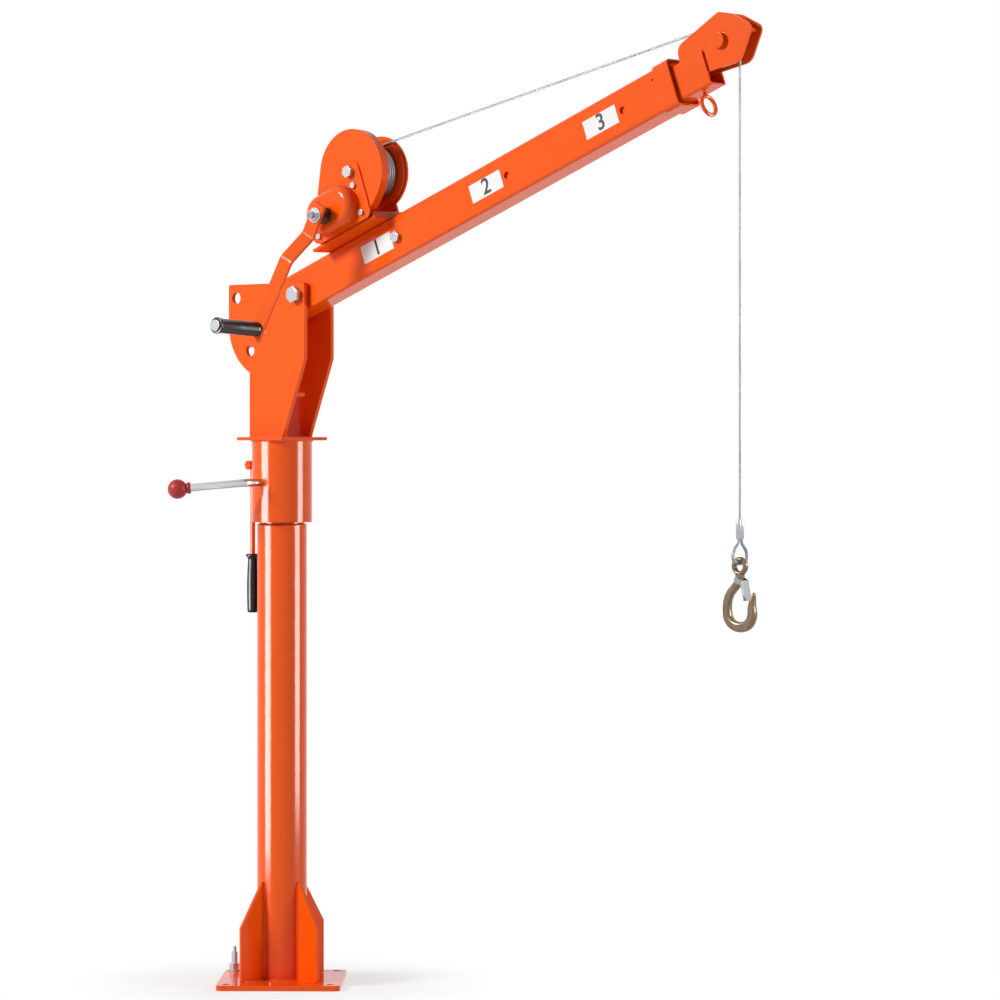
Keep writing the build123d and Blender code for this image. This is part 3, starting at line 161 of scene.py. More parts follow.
# Lamps: a strip at each side, seen only as gloss on round pieces, a soft key high on the left, a fill on
# the right and a weaker one behind, which leaves no gloss; angles are to the right of the camera
lampSpec = {
    "stripLeft": {"angle": -66, "distance": 2.1, "height": 0.54, "size": (1.10, 1.08), "power": 115,
                  "lights": False, "gloss": True},
    "stripRight": {"angle": 77, "distance": 3.4, "height": 0.95, "size": (1.30, 1.90), "power": 176,
                   "lights": False, "gloss": True},
    "key": {"angle": -63, "distance": 5.0, "height": 3.5, "size": (1.6, 1.6), "power": 305,
            "lights": True, "gloss": True},
    "fill": {"angle": 74, "distance": 4.5, "height": 1.9, "size": (1.0, 1.0), "power": 75,
             "lights": True, "gloss": True},
    "back": {"angle": 160, "distance": 5.0, "height": 2.0, "size": (1.6, 1.6), "power": 80,
             "lights": True, "gloss": False},
}
highestAim = 1.4  # no lamp points higher than this
for name, lamp in lampSpec.items():
    lampData = bpy.data.lights.new(name, "AREA")
    lampData.shape = "RECTANGLE"
    lampData.size, lampData.size_y = lamp["size"]
    lampData.energy = lamp["power"]
    light = bpy.data.objects.new(name, lampData)
    light.visible_diffuse = lamp["lights"]
    light.visible_glossy = lamp["gloss"]
    around = math.radians(lamp["angle"])
    stand = (viewRight * math.sin(around) - viewAway * math.cos(around)) * lamp["distance"]
    stand.z = lamp["height"]
    aim = upright * min(lamp["height"], highestAim)
    light.location = stand
    light.rotation_euler = (aim - stand).to_track_quat("-Z", "Y").to_euler()
    scene.collection.objects.link(light)
print("stage: camera, floor and", len(lampSpec), "lamps")

finishes = {}
bumpDepth = 0.0003

# Powder coat, sprayed and baked: glossy, with a faint orange-peel ripple a few millimetres wide
coatSpec = {"colour": "#F85C08", "shade": "#F35707", "patchMm": 160.0, "rough": (0.10, 0.16), "gloss": 0.25,
            "rippleMm": 3.0, "bump": 0.04}
material, tree, place = newMaterial("orangePowderCoat")
patch = addNode(tree, "ShaderNodeTexNoise", {"Scale": 1000 / coatSpec["patchMm"], "Detail": 2.0},
                {"Vector": place})
tint = addNode(tree, "ShaderNodeMix",
               {"data_type": "RGBA", 6: hexColour(coatSpec["colour"]), 7: hexColour(coatSpec["shade"])},
               {0: patch.outputs[0]})
ripple = addNode(tree, "ShaderNodeTexNoise", {"Scale": 1000 / coatSpec["rippleMm"], "Detail": 1.0},
                 {"Vector": place})
peel = addNode(tree, "ShaderNodeBump", {"Strength": coatSpec["bump"], "Distance": bumpDepth},
               {"Height": ripple.outputs[0]})
sheen = addNode(tree, "ShaderNodeMapRange", {"To Min": coatSpec["rough"][0], "To Max": coatSpec["rough"][1]},
                {"Value": patch.outputs[0]})
coat = addNode(tree, "ShaderNodeBsdfPrincipled", {"IOR": 1.5, "Specular IOR Level": coatSpec["gloss"]},
               {"Base Color": tint.outputs[2], "Roughness": sheen.outputs[0], "Normal": peel.outputs[0]})
closeMaterial(tree, coat)
finishes["orange_powder_coat"] = material

# Plated and bare metals: two tones, a roughness band and a grain, drawn coarser than the real one to show
metalSpec = {
    # electroplated, so bright and faintly mottled
    "zinc_plated_steel": {"name": "brightZincPlate", "colour": "#DADDE1", "dark": "#AEB2B8",
                          "rough": (0.18, 0.32), "grainMm": 2.4, "bump": 0.08},
    # cut and left bare, so grey with fine tool marks
    "machined_steel": {"name": "machinedSteel", "colour": "#8E8F92", "dark": "#6E6F72",
                       "rough": (0.30, 0.45), "grainMm": 1.2, "bump": 0.08},
    # turned bearing metal, brown and dull
    "bush_bronze": {"name": "turnedBronze", "colour": "#A98350", "dark": "#8E6B3E",
                    "rough": (0.30, 0.42), "grainMm": 1.2, "bump": 0.05},
    # a mirror with painted reflection streaks, light and dark in its colour, drawn out along a rod: its degrees
    # round Z, and their length in widths
    "chrome_lever": {"name": "chromeWithPaintedStreaks", "colour": "#F4F5F6", "dark": "#70777B",
                     "rough": (0.05, 0.10), "grainMm": 5.0, "bump": 0.0, "along": (45.0, 14.0)},
    # hot-dipped wire, pale grey and a little uneven
    "wire_rope": {"name": "galvanisedWire", "colour": "#B6BABF", "dark": "#878B91",
                  "rough": (0.26, 0.42), "grainMm": 2.5, "bump": 0.08},
    # squeezed in a die, so soft and satin
    "pressed_aluminium": {"name": "pressedAluminium", "colour": "#C4C7CC", "dark": "#999DA3",
                          "rough": (0.20, 0.32), "grainMm": 3.0, "bump": 0.10},
    # forged and passivated, so brownish and pitted with scale
    "yellow_zinc_hook": {"name": "yellowZincForging", "colour": "#98846D", "dark": "#5C4E41",
                         "rough": (0.26, 0.40), "grainMm": 9.0, "bump": 0.35},
    # plated spring sheet, smooth with broad cloudy marks
    "latch_sheet": {"name": "zincSheet", "colour": "#B0B3B6", "dark": "#888B8E",
                    "rough": (0.16, 0.26), "grainMm": 6.0, "bump": 0.12},
    # wire under the outer layer, dark with grease and darker still with painted shade, as it shows only in the
    # gaps between the outer turns
    "inner_wire": {"name": "greasedWireInPaintedShade", "colour": "#3A3839", "dark": "#1D1C1D",
                   "rough": (0.34, 0.5), "grainMm": 3.0, "bump": 0.1},
}
for slot, spec in metalSpec.items():
    material, tree, place = newMaterial(spec["name"])
    # For chrome, the two tones are painted reflections, stretched into streaks along the rod
    if "along" in spec:
        rodDegrees, stretch = spec["along"]
        drawn = addNode(tree, "ShaderNodeMapping",
                        {"vector_type": "TEXTURE", "Rotation": (0, 0, math.radians(rodDegrees)),
                         "Scale": (stretch, 1, 1)}, {"Vector": place})
        place = drawn.outputs[0]
    grain = addNode(tree, "ShaderNodeTexNoise",
                    {"Scale": 1000 / spec["grainMm"], "Detail": 4.0, "Roughness": 0.6}, {"Vector": place})
    tint = addNode(tree, "ShaderNodeMix",
                   {"data_type": "RGBA", 6: hexColour(spec["colour"]), 7: hexColour(spec["dark"])},
                   {0: grain.outputs[0]})
    sheen = addNode(tree, "ShaderNodeMapRange", {"To Min": spec["rough"][0], "To Max": spec["rough"][1]},
                    {"Value": grain.outputs[0]})
    pits = addNode(tree, "ShaderNodeBump", {"Strength": spec["bump"], "Distance": bumpDepth},
                   {"Height": grain.outputs[0]})
    metal = addNode(tree, "ShaderNodeBsdfPrincipled", {"Metallic": 1.0},
                    {"Base Color": tint.outputs[2], "Roughness": sheen.outputs[0], "Normal": pits.outputs[0]})
    closeMaterial(tree, metal)
    finishes[slot] = material

# Plastics, rubber, black oxide and vinyl: a soft gloss over a fine grain
mouldedSpec = {
    # moulded hard and tumbled, so smooth with a broad soft highlight
    "red_knob": {"name": "redPhenolicKnob", "colour": "#B23237", "dark": "#A62C31",
                 "rough": (0.36, 0.46), "grainMm": 9.0, "bump": 0.01, "gloss": 0.35},
    # moulded in a polished die, so nearly black with a narrow highlight
    "black_rubber": {"name": "blackMouldedRubber", "colour": "#131316", "dark": "#0D0D0F",
                     "rough": (0.22, 0.32), "grainMm": 1.6, "bump": 0.06, "gloss": 0.3},
    # dipped and oiled, so dark with a satin shine
    "black_steel": {"name": "blackOxideSteel", "colour": "#1E1E20", "dark": "#151517",
                    "rough": (0.26, 0.40), "grainMm": 2.0, "bump": 0.06, "gloss": 0.5},
    # printed film, plain white and almost even
    "white_label": {"name": "whiteVinylLabel", "colour": "#ECECEB", "dark": "#E6E6E6",
                    "rough": (0.30, 0.42), "grainMm": 5.0, "bump": 0.02, "gloss": 0.4},
}
for slot, spec in mouldedSpec.items():
    material, tree, place = newMaterial(spec["name"])
    grain = addNode(tree, "ShaderNodeTexNoise", {"Scale": 1000 / spec["grainMm"], "Detail": 3.0},
                    {"Vector": place})
    tint = addNode(tree, "ShaderNodeMix",
                   {"data_type": "RGBA", 6: hexColour(spec["colour"]), 7: hexColour(spec["dark"])},
                   {0: grain.outputs[0]})
    sheen = addNode(tree, "ShaderNodeMapRange", {"To Min": spec["rough"][0], "To Max": spec["rough"][1]},
                    {"Value": grain.outputs[0]})
    skin = addNode(tree, "ShaderNodeBump", {"Strength": spec["bump"], "Distance": bumpDepth},
                   {"Height": grain.outputs[0]})
    shell = addNode(tree, "ShaderNodeBsdfPrincipled", {"IOR": 1.5, "Specular IOR Level": spec["gloss"]},
                    {"Base Color": tint.outputs[2], "Roughness": sheen.outputs[0], "Normal": skin.outputs[0]})
    closeMaterial(tree, shell)
    finishes[slot] = material

# Printed figures on the labels: flat black ink, a little uneven
inkSpec = {"colour": "#17171A", "pale": "#242427", "grainMm": 2.0, "rough": 0.45}
material, tree, place = newMaterial("printedInk")
speck = addNode(tree, "ShaderNodeTexNoise", {"Scale": 1000 / inkSpec["grainMm"], "Detail": 2.0},
                {"Vector": place})
tint = addNode(tree, "ShaderNodeMix",
               {"data_type": "RGBA", 6: hexColour(inkSpec["colour"]), 7: hexColour(inkSpec["pale"])},
               {0: speck.outputs[0]})
ink = addNode(tree, "ShaderNodeBsdfPrincipled", {"Roughness": inkSpec["rough"]},
              {"Base Color": tint.outputs[2]})
closeMaterial(tree, ink)
finishes["ink"] = material

for name, node in nodes.items():
    node.data.materials.clear()
    node.data.materials.append(finishes[slotOf[name]])
print("materials:", len(finishes))


def addPiece(name, mesh, body, slot, *replaced, finish=None):
    mesh.materials.clear()
    mesh.materials.append(finishes[finish or slot])
    piece = bpy.data.objects.new(name, mesh)
    scene.collection.objects.link(piece)
    if isinstance(body, str):
        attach(piece, body)
    else:
        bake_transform(piece)
    if replaced:
        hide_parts(*replaced)
    return piece


def finishedMesh(shape, name, creaseDegrees=38):
    mesh = bpy.data.meshes.new(name)
    shape.to_mesh(mesh)
    shape.free()
    mesh.polygons.foreach_set("use_smooth", [True] * len(mesh.polygons))
    mesh.set_sharp_from_angle(angle=math.radians(creaseDegrees))
    return mesh


def camelName(node):
    first, *rest = node.split("_")
    return first + "".join(word.capitalize() for word in rest)


# Broken edges: a merged copy of each plate or turned part, with the small rounds (mm) that catch the light
edgeSpec = {
    "base_plate": 1.6, "post_gussets": 0.9, "head_flange": 0.9, "swivel_sleeve": 0.8, "cheek_near": 0.8,
    "cheek_far": 0.8, "cheek_peg": 0.8, "handle_bracket": 0.6, "handle_bolt": 0.8, "boom_tube": 0.5,
    "boom_collar": 0.7, "winch_base": 0.7, "winch_near_plate": 0.5, "winch_far_plate": 0.6, "gear_case": 0.6,
    "pinion_cover": 0.6, "winch_drum": 0.6, "crank_arm": 0.7, "inner_tube": 0.5, "head_plates": 0.6,
    "sheave_axle": 0.8, "keeper_pin": 0.5, "anchor_nut": 0.9, "anchor_washer": 0.4, "pivot_bolt": 1.4,
    "pivot_nut": 1.2, "luff_pin": 1.4, "boom_pin": 1.0, "cover_bolts": 0.9, "drum_axle": 1.3, "axle_nut": 1.2,
    "crank_nut": 1.2, "grip_spindle": 0.8, "crank_collar": 0.4, "sheave": 0.4, "pinion_shaft": 0.3,
}
roundSpec = {"sharpDegrees": 32, "flatDegrees": 0.3, "merge": 2e-6, "segments": 2}


def roundedCopy(node, roundMm):
    shape = bmesh.new()
    shape.from_mesh(nodes[node].data)
    bmesh.ops.remove_doubles(shape, verts=shape.verts, dist=roundSpec["merge"])
    bmesh.ops.dissolve_limit(shape, angle_limit=math.radians(roundSpec["flatDegrees"]),
                             verts=shape.verts, edges=shape.edges)
    sharpAngle = math.radians(roundSpec["sharpDegrees"])
    sharp = [e for e in shape.edges if len(e.link_faces) == 2 and e.calc_face_angle() > sharpAngle]
    bmesh.ops.bevel(shape, geom=sharp, offset=roundMm * mm, offset_type="OFFSET", affect="EDGES",
                    segments=roundSpec["segments"], profile=0.5, clamp_overlap=True, material=-1)
    return finishedMesh(shape, camelName(node))


def keepFlat(piece):
    flatten = piece.modifiers.new("flatFaces", "WEIGHTED_NORMAL")
    flatten.keep_sharp = True


for node, roundMm in edgeSpec.items():
    keepFlat(addPiece(camelName(node), roundedCopy(node, roundMm), bodyOf[node], slotOf[node], node))
print("edges:", len(edgeSpec), "parts rounded")

lathe = {"steps": 48, "merge": 1e-6}


def standShape(shape, origin, axis):
    lean = Vector(axis).to_track_quat("Z", "Y").to_matrix().to_4x4()
    bmesh.ops.transform(shape, matrix=Matrix.Translation(origin) @ lean, verts=shape.verts)


# A profile is a list of (along, radius) in mm, turned round the axis
def turnedMesh(name, profile, origin, axis, steps=lathe["steps"]):
    shape = bmesh.new()
    verts = [shape.verts.new((radius * mm, 0, along * mm)) for along, radius in profile]
    edges = [shape.edges.new(pair) for pair in zip(verts, verts[1:])]
    bmesh.ops.spin(shape, geom=verts + edges, cent=(0, 0, 0), axis=upright, angle=fullTurn, steps=steps,
                   use_merge=True)
    bmesh.ops.remove_doubles(shape, verts=shape.verts, dist=lathe["merge"])
    bmesh.ops.recalc_face_normals(shape, faces=shape.faces)
    standShape(shape, origin, axis)
    return finishedMesh(shape, name)


def arcProfile(radius, fromDegrees, toDegrees, count):
    angles = [math.radians(fromDegrees + (toDegrees - fromDegrees) * k / count) for k in range(count + 1)]
    return [(radius * math.cos(a), radius * math.sin(a)) for a in angles]


def nurbsCurve(name, points, resolution):
    curve = bpy.data.curves.new(name, "CURVE")
    curve.dimensions = "3D"
    curve.resolution_u = resolution
    spline = curve.splines.new("NURBS")
    spline.points.add(len(points) - 1)
    for control, point in zip(spline.points, points):
        control.co = (*point, 1.0)
    spline.order_u = 3
    spline.use_endpoint_u = True
    return curve, spline


def meshOfCurve(curve):
    holder = bpy.data.objects.new(curve.name, curve)
    mesh = bpy.data.meshes.new_from_object(holder)
    bpy.data.objects.remove(holder)
    bpy.data.curves.remove(curve)
    return mesh


# Wire rope: six strands laid round the middle line, which is read from the route's own smooth spline
ropeSpec = {"diameter": 0.004, "strands": 6, "layLength": 0.030, "step": 0.002, "smooth": 12,
            "endDiameters": 6}


def routeLine(points, resolution=ropeSpec["smooth"]):
    curve, _ = nurbsCurve("route", points, resolution)
    mesh = meshOfCurve(curve)
    line = [v.co.copy() for v in mesh.vertices]
    bpy.data.meshes.remove(mesh)
    return line


def evenLine(line, step):
    along = [0.0]
    for a, b in zip(line, line[1:]):
        along.append(along[-1] + (b - a).length)
    count = max(2, math.ceil(along[-1] / step))
    made = []
    k = 0
    for n in range(count + 1):
        reach = along[-1] * n / count
        while k < len(line) - 2 and along[k + 1] < reach:
            k += 1
        span = max(along[k + 1] - along[k], 1e-9)
        made.append(line[k].lerp(line[k + 1], (reach - along[k]) / span))
    return made, along[-1]


# Each line is a list of (point, swell), and a tube's radius there is the swell times the radius
def tubesMesh(name, lines, radius, ringSteps=1):
    curve = bpy.data.curves.new(name, "CURVE")
    curve.dimensions = "3D"
    curve.bevel_depth = radius
    curve.bevel_resolution = ringSteps
    curve.use_fill_caps = True
    for line in lines:
        spline = curve.splines.new("POLY")
        spline.points.add(len(line) - 1)
        for control, (point, swell) in zip(spline.points, line):
            control.co = (*point, 1.0)
            control.radius = swell
    mesh = meshOfCurve(curve)
    mesh.name = name
    mesh.polygons.foreach_set("use_smooth", [True] * len(mesh.polygons))
    return mesh


def strandMesh(name, points, side, startAt=0.0, diameter=ropeSpec["diameter"]):
    line, length = evenLine(points, ropeSpec["step"])
    strandR = diameter / 6  # three strands lie side by side across the rope
    strands = []
    for strand in range(ropeSpec["strands"]):
        laid = []
        for k, point in enumerate(line):
            ahead = (line[min(k + 1, len(line) - 1)] - line[max(k - 1, 0)]).normalized()
            out = side.cross(ahead).normalized()
            across = ahead.cross(out)
            travelled = startAt + length * k / (len(line) - 1)
            angle = fullTurn * (strand / ropeSpec["strands"] + travelled / ropeSpec["layLength"])
            laid.append((point + (out * math.cos(angle) + across * math.sin(angle)) * strandR * 2, 1.0))
        strands.append(laid)
    return tubesMesh(name, strands, strandR), line, length


def onWheel(wheel, angle, radius, across=0.0):
    return wheel["axis"] + Vector((radius * math.cos(angle), across, radius * math.sin(angle)))


# The rope leaves the drum where the line that touches drum and sheave from above begins
sheaveSpec = {"axis": Vector(jointAt["sheave_spin"]["pos_m"]), "ropeR": 0.030}
reelSpec = {"axis": Vector(jointAt["drum_spin"]["pos_m"]), "layR": 0.0455, "turns": 9, "pitch": 0.0041,
            "looseTurns": 3, "loosePitch": 0.0056, "perTurn": 24, "smooth": 4, "lead": 0.005, "leadBend": 0.2}
reelToSheave = sheaveSpec["axis"] - reelSpec["axis"]
exitAngle = (math.atan2(reelToSheave.z, reelToSheave.x) + math.pi / 2
             - math.asin((sheaveSpec["ropeR"] - reelSpec["layR"]) / reelToSheave.length))


def reelPoint(turnsLeft, radius):
    loose = min(turnsLeft, reelSpec["looseTurns"])  # the last turns on lie a little apart
    across = -loose * reelSpec["loosePitch"] - (turnsLeft - loose) * reelSpec["pitch"]
    return onWheel(reelSpec, exitAngle + turnsLeft * fullTurn, radius, across)


# The control points stand a little outside the turns, because the spline runs inside them
reelOut = reelSpec["layR"] / math.cos(math.pi / reelSpec["perTurn"])
reelCount = reelSpec["turns"] * reelSpec["perTurn"]
exitDir = Vector((math.sin(exitAngle), 0, -math.cos(exitAngle)))
reelStart = reelPoint(reelSpec["turns"], reelSpec["layR"])
reelEnd = reelPoint(0, reelSpec["layR"])
reelLead = exitDir * reelSpec["lead"]
leadOut = reelEnd + reelLead
windPoints = [reelStart - reelLead, reelStart - reelLead * reelSpec["leadBend"]]
for k in range(reelCount):
    windPoints.append(reelPoint(reelSpec["turns"] - (k + 0.5) / reelSpec["perTurn"], reelOut))
windPoints += [reelEnd + reelLead * reelSpec["leadBend"], leadOut]
mesh, _, windLength = strandMesh("ropeWound", routeLine(windPoints, reelSpec["smooth"]), crossY)
addPiece("ropeWound", mesh, "drum", "wire_rope", "rope_winding")

# The layers under the outer one show only between its turns, so each turn of theirs is a plain ring
coreSpec = {"boreMm": 31.0, "ringSides": 6, "steps": 64}
coreLow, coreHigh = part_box("rope_core")
coreCount = int((coreHigh.y - coreLow.y) / ropeSpec["diameter"])
coreR = (coreHigh.x - coreLow.x) / 2 / mm
ringMm = (coreHigh.y - coreLow.y) / mm / coreCount
ringR = ringMm / 2
ringAngles = [math.pi * (1 - n / coreSpec["ringSides"]) for n in range(coreSpec["ringSides"] + 1)]
coreProfile = [(0, coreSpec["boreMm"])]
for k in range(coreCount):
    middle = ringMm * (k + 0.5)
    coreProfile += [(middle + ringR * math.cos(a), coreR - ringR + ringR * math.sin(a)) for a in ringAngles]
coreProfile.append((ringMm * coreCount, coreSpec["boreMm"]))
coreFoot = Vector((reelSpec["axis"].x, coreHigh.y, reelSpec["axis"].z))
# The inner layer's dark finish is partly grease and partly painted shade for the gaps between the outer turns
addPiece("ropeInnerLayer", turnedMesh("ropeInnerLayer", coreProfile, coreFoot, -crossY, coreSpec["steps"]),
         "drum", "wire_rope", "rope_core", finish="inner_wire")

# Span, wrap on the sheave and fall, one after another, so that the strands run on from piece to piece
endLength = ropeSpec["diameter"] * ropeSpec["endDiameters"]
touch = onWheel(sheaveSpec, exitAngle, sheaveSpec["ropeR"])
spanPoints = [leadOut, leadOut + exitDir * endLength, touch - exitDir * endLength, touch]
mesh, spanLine, spanLength = strandMesh("ropeSpan", routeLine(spanPoints), crossY, windLength)
ropeSpan = addPiece("ropeSpan", mesh, ("boom", "inner_boom", leadOut, touch), "wire_rope", "rope_span")

wrapSpec = {"points": 8, "smooth": 6}
wrapStep = exitAngle / wrapSpec["points"]
wrapOut = sheaveSpec["ropeR"] / math.cos(wrapStep / 2)
fallTop = onWheel(sheaveSpec, 0, sheaveSpec["ropeR"])
wrapPoints = [touch]
for k in range(wrapSpec["points"]):
    wrapPoints.append(onWheel(sheaveSpec, exitAngle - (k + 0.5) * wrapStep, wrapOut))
wrapPoints.append(fallTop)
mesh, _, wrapLength = strandMesh("ropeWrap", routeLine(wrapPoints, wrapSpec["smooth"]), crossY,
                                 windLength + spanLength)
addPiece("ropeWrap", mesh, ("inner_boom", "rope_line", touch, fallTop), "wire_rope", "rope_wrap")

ferruleLow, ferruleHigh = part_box("rope_ferrule")
fallBottom = Vector((fallTop.x, 0, ferruleHigh.z))
fallPoints = [fallTop, fallTop - upright * endLength, fallBottom + upright * endLength, fallBottom]
mesh, fallLine, fallLength = strandMesh("ropeFall", routeLine(fallPoints), crossY,
                                        windLength + spanLength + wrapLength)
ropeFall = addPiece("ropeFall", mesh, ("rope_line", "hook_line", fallTop, fallBottom),
                    "wire_rope", "rope_fall")

# Eye: one loop in the plane across the boom, a little thicker than the rope
eyeSpec = {"half": 0.018, "bottom": 0.775, "shoulder": 0.795, "leg": 0.0033, "lead": 0.007, "diameter": 0.006}
eyeSide = [(eyeSpec["leg"], ferruleLow.z), (eyeSpec["leg"], ferruleLow.z - eyeSpec["lead"]),
           (eyeSpec["half"], eyeSpec["shoulder"]), (eyeSpec["half"], eyeSpec["bottom"])]
eyePoints = [Vector((fallTop.x, -across, height)) for across, height in eyeSide]
eyePoints += [Vector((fallTop.x, across, height)) for across, height in reversed(eyeSide)]
mesh, _, eyeLength = strandMesh("ropeEye", routeLine(eyePoints), Vector((1, 0, 0)), 0.0, eyeSpec["diameter"])
ropeEye = addPiece("ropeEye", mesh, "hook_line", "wire_rope", "rope_eye")
print("rope: wound", round(windLength, 3), "span", round(spanLength, 3), "wrap", round(wrapLength, 3),
      "fall", round(fallLength, 3), "eye", round(eyeLength, 3))

# Ferrule: a sleeve pressed round two parts of the rope, so it has two barrels and a seam between them
ferruleSpec = {"barrelMm": 4.5, "apartMm": 3.5, "boreMm": 1.6, "lipMm": ((0, 1.0), (0.3, 0.35), (1.0, 0)),
               "steps": 32}
ferruleMm = (ferruleHigh.z - ferruleLow.z) / mm
lowLip = [(along, ferruleSpec["barrelMm"] - drop) for along, drop in ferruleSpec["lipMm"]]
highLip = [(ferruleMm - along, radius) for along, radius in reversed(lowLip)]
barrelProfile = [(0, ferruleSpec["boreMm"])] + lowLip + highLip + [(ferruleMm, ferruleSpec["boreMm"])]
shape = bmesh.new()
for side in (-1, 1):
    foot = Vector((fallTop.x, side * ferruleSpec["apartMm"] * mm, ferruleLow.z))
    shape.from_mesh(turnedMesh("barrel", barrelProfile, foot, upright, ferruleSpec["steps"]))
ferrule = addPiece("ropeFerrule", finishedMesh(shape, "ropeFerrule"),
                   "hook_line", "pressed_aluminium", "rope_ferrule")

# Hook: a forging whose bar swells round the bowl and thins to its point; (out, height, half thickness) in mm
hookSpec = {"eyeHeightMm": 770.7, "eyeMm": 11.5, "eyeThickMm": 4.0, "eyeDeep": 1.35, "eyeSides": 16,
            "barDeep": 1.2, "flatMm": 6.4, "smooth": 6, "creaseDegrees": 60, "latchRoundMm": 0.4,
            "bar": [(0, 758.5, 7.0), (0.5, 749, 7.0), (-7, 739, 6.8), (-22, 725, 6.8), (-27, 706, 7.0),
                    (-24, 681, 7.8), (-4, 670.5, 8.6), (17.5, 674.5, 8.6), (26.5, 690, 7.8), (24.5, 705, 6.8),
                    (26.5, 717, 5.0), (29, 726.5, 3.4), (29.6, 728.5, 1.2)]}
barPoints = [(out * mm, 0, height * mm) for out, height, thick in hookSpec["bar"]]
curve, spline = nurbsCurve("hookBar", barPoints, hookSpec["smooth"])
curve.bevel_depth = mm
curve.bevel_resolution = hookSpec["smooth"]
curve.use_fill_caps = True
for control, (out, height, thick) in zip(spline.points, hookSpec["bar"]):
    control.radius = thick
barMesh = meshOfCurve(curve)
shape = bmesh.new()
shape.from_mesh(barMesh)
bpy.data.meshes.remove(barMesh)
bmesh.ops.scale(shape, vec=(1, hookSpec["barDeep"], 1), verts=shape.verts)
cheek = hookSpec["flatMm"] * mm
for vert in shape.verts:  # the two dies leave flat cheeks on the bar
    vert.co.y = max(-cheek, min(cheek, vert.co.y))
barVerts = set(shape.verts)
eyeOut = Vector((hookSpec["eyeMm"] * mm, 0, 0))
quarterX = Matrix.Rotation(math.radians(90), 3, "X")
eyeRing = bmesh.ops.create_circle(shape, radius=hookSpec["eyeThickMm"] * mm, segments=hookSpec["eyeSides"],
                                  matrix=Matrix.Translation(eyeOut))["verts"]
bmesh.ops.rotate(shape, verts=eyeRing, cent=eyeOut, matrix=quarterX)
ringEdges = list({e for v in eyeRing for e in v.link_edges})
bmesh.ops.spin(shape, geom=eyeRing + ringEdges, cent=(0, 0, 0), axis=upright, angle=fullTurn,
               steps=lathe["steps"], use_merge=True)
eyeVerts = [v for v in shape.verts if v not in barVerts]
bmesh.ops.scale(shape, vec=(1, 1, hookSpec["eyeDeep"]), verts=eyeVerts)
bmesh.ops.rotate(shape, verts=eyeVerts, cent=(0, 0, 0), matrix=quarterX)
bmesh.ops.translate(shape, vec=upright * hookSpec["eyeHeightMm"] * mm, verts=eyeVerts)
bmesh.ops.translate(shape, vec=(fallTop.x, 0, 0), verts=shape.verts)
bmesh.ops.remove_doubles(shape, verts=shape.verts, dist=lathe["merge"])
bmesh.ops.recalc_face_normals(shape, faces=shape.faces)
hookMesh = finishedMesh(shape, "hookForging", hookSpec["creaseDegrees"])
keepFlat(addPiece("hookForging", hookMesh, "hook_body", "yellow_zinc_hook", "hook"))
latchMesh = roundedCopy("hook_latch", hookSpec["latchRoundMm"])
keepFlat(addPiece("hookLatch", latchMesh, "latch", "zinc_plated_steel", "hook_latch", finish="latch_sheet"))

# Knob: a moulded ball with its parting line and a collar where the lever goes in; it points round and down
knobSpec = {"centre": Vector((-0.084, -0.178, 0.888)), "roundDegrees": 225, "downDegrees": 5.29,
            "ballMm": 17.5, "seamMm": 0.45, "backArc": (150, 92, 10), "frontArc": (88, 0, 14),
            "collar": [(-23.5, 7.2), (-23.5, 9.0), (-22.8, 9.9), (-20.8, 10.5), (-18.8, 10.5), (-17.6, 9.7),
                       (-16.4, 8.8)]}
knobProfile = (knobSpec["collar"] + arcProfile(knobSpec["ballMm"], *knobSpec["backArc"])
               + [(0, knobSpec["ballMm"] - knobSpec["seamMm"])]
               + arcProfile(knobSpec["ballMm"], *knobSpec["frontArc"]))
knobRound = math.radians(knobSpec["roundDegrees"])
knobDown = math.radians(knobSpec["downDegrees"])
knobOut = Vector((math.cos(knobRound) * math.cos(knobDown), math.sin(knobRound) * math.cos(knobDown),
                  -math.sin(knobDown)))
addPiece("leverKnob", turnedMesh("leverKnob", knobProfile, knobSpec["centre"], knobOut),
         "clamp_lever", "red_knob", "lever_ball")

# Grips: the crank's turns on its spindle, the swing handle's is pushed on its rod
gripSpec = {"crank": [(6.3, 5.2), (6.3, 11.6), (6.9, 12.6), (8.0, 13.2), (10.5, 13.2), (11.5, 12.7),
                      (13, 12.7), (55, 13.2), (100.5, 12.8), (101.5, 13.2), (102.6, 14.2), (103.6, 14.5),
                      (105.8, 14.5), (106.9, 13.9), (107.3, 12.8), (107.3, 10.2), (105.8, 9.7), (105.8, 5.2)],
            "handle": [(0, 0), (0, 7.5), (0.8, 8.8), (2.5, 9.6), (8, 10.0), (30, 10.5), (55, 10.5), (75, 9.8),
                       (88, 8.9), (95, 8.6), (98.5, 9.2), (100.5, 11.0), (101.5, 12.2), (103, 12.5),
                       (104.5, 12.2), (105.6, 11.0), (106, 8.5), (106, 4.7), (98, 4.7)]}
crankGripAt = jointAt["grip_spin"]
addPiece("crankGrip",
         turnedMesh("crankGrip", gripSpec["crank"], Vector(crankGripAt["pos_m"]), crankGripAt["axis"]),
         "grip", "black_rubber", "crank_grip")
gripLow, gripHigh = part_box("handle_grip")
gripFoot = Vector(((gripLow.x + gripHigh.x) / 2, (gripLow.y + gripHigh.y) / 2, gripLow.z))
addPiece("handleGrip", turnedMesh("handleGrip", gripSpec["handle"], gripFoot, upright),
         "swing_handle", "black_rubber", "handle_grip")

# Threads: one ridge wound up the bolt's end; the ridge is (share of the pitch, rise in mm)
threadSpec = {"radiusMm": 6.0, "pitchMm": 1.75, "perTurn": 20, "creaseDegrees": 60,
              "ridge": ((0.08, -0.35), (0.5, 0.22), (0.92, -0.35)),
              "studTurns": 11, "studGap": 0.0003, "crankTurns": 2}


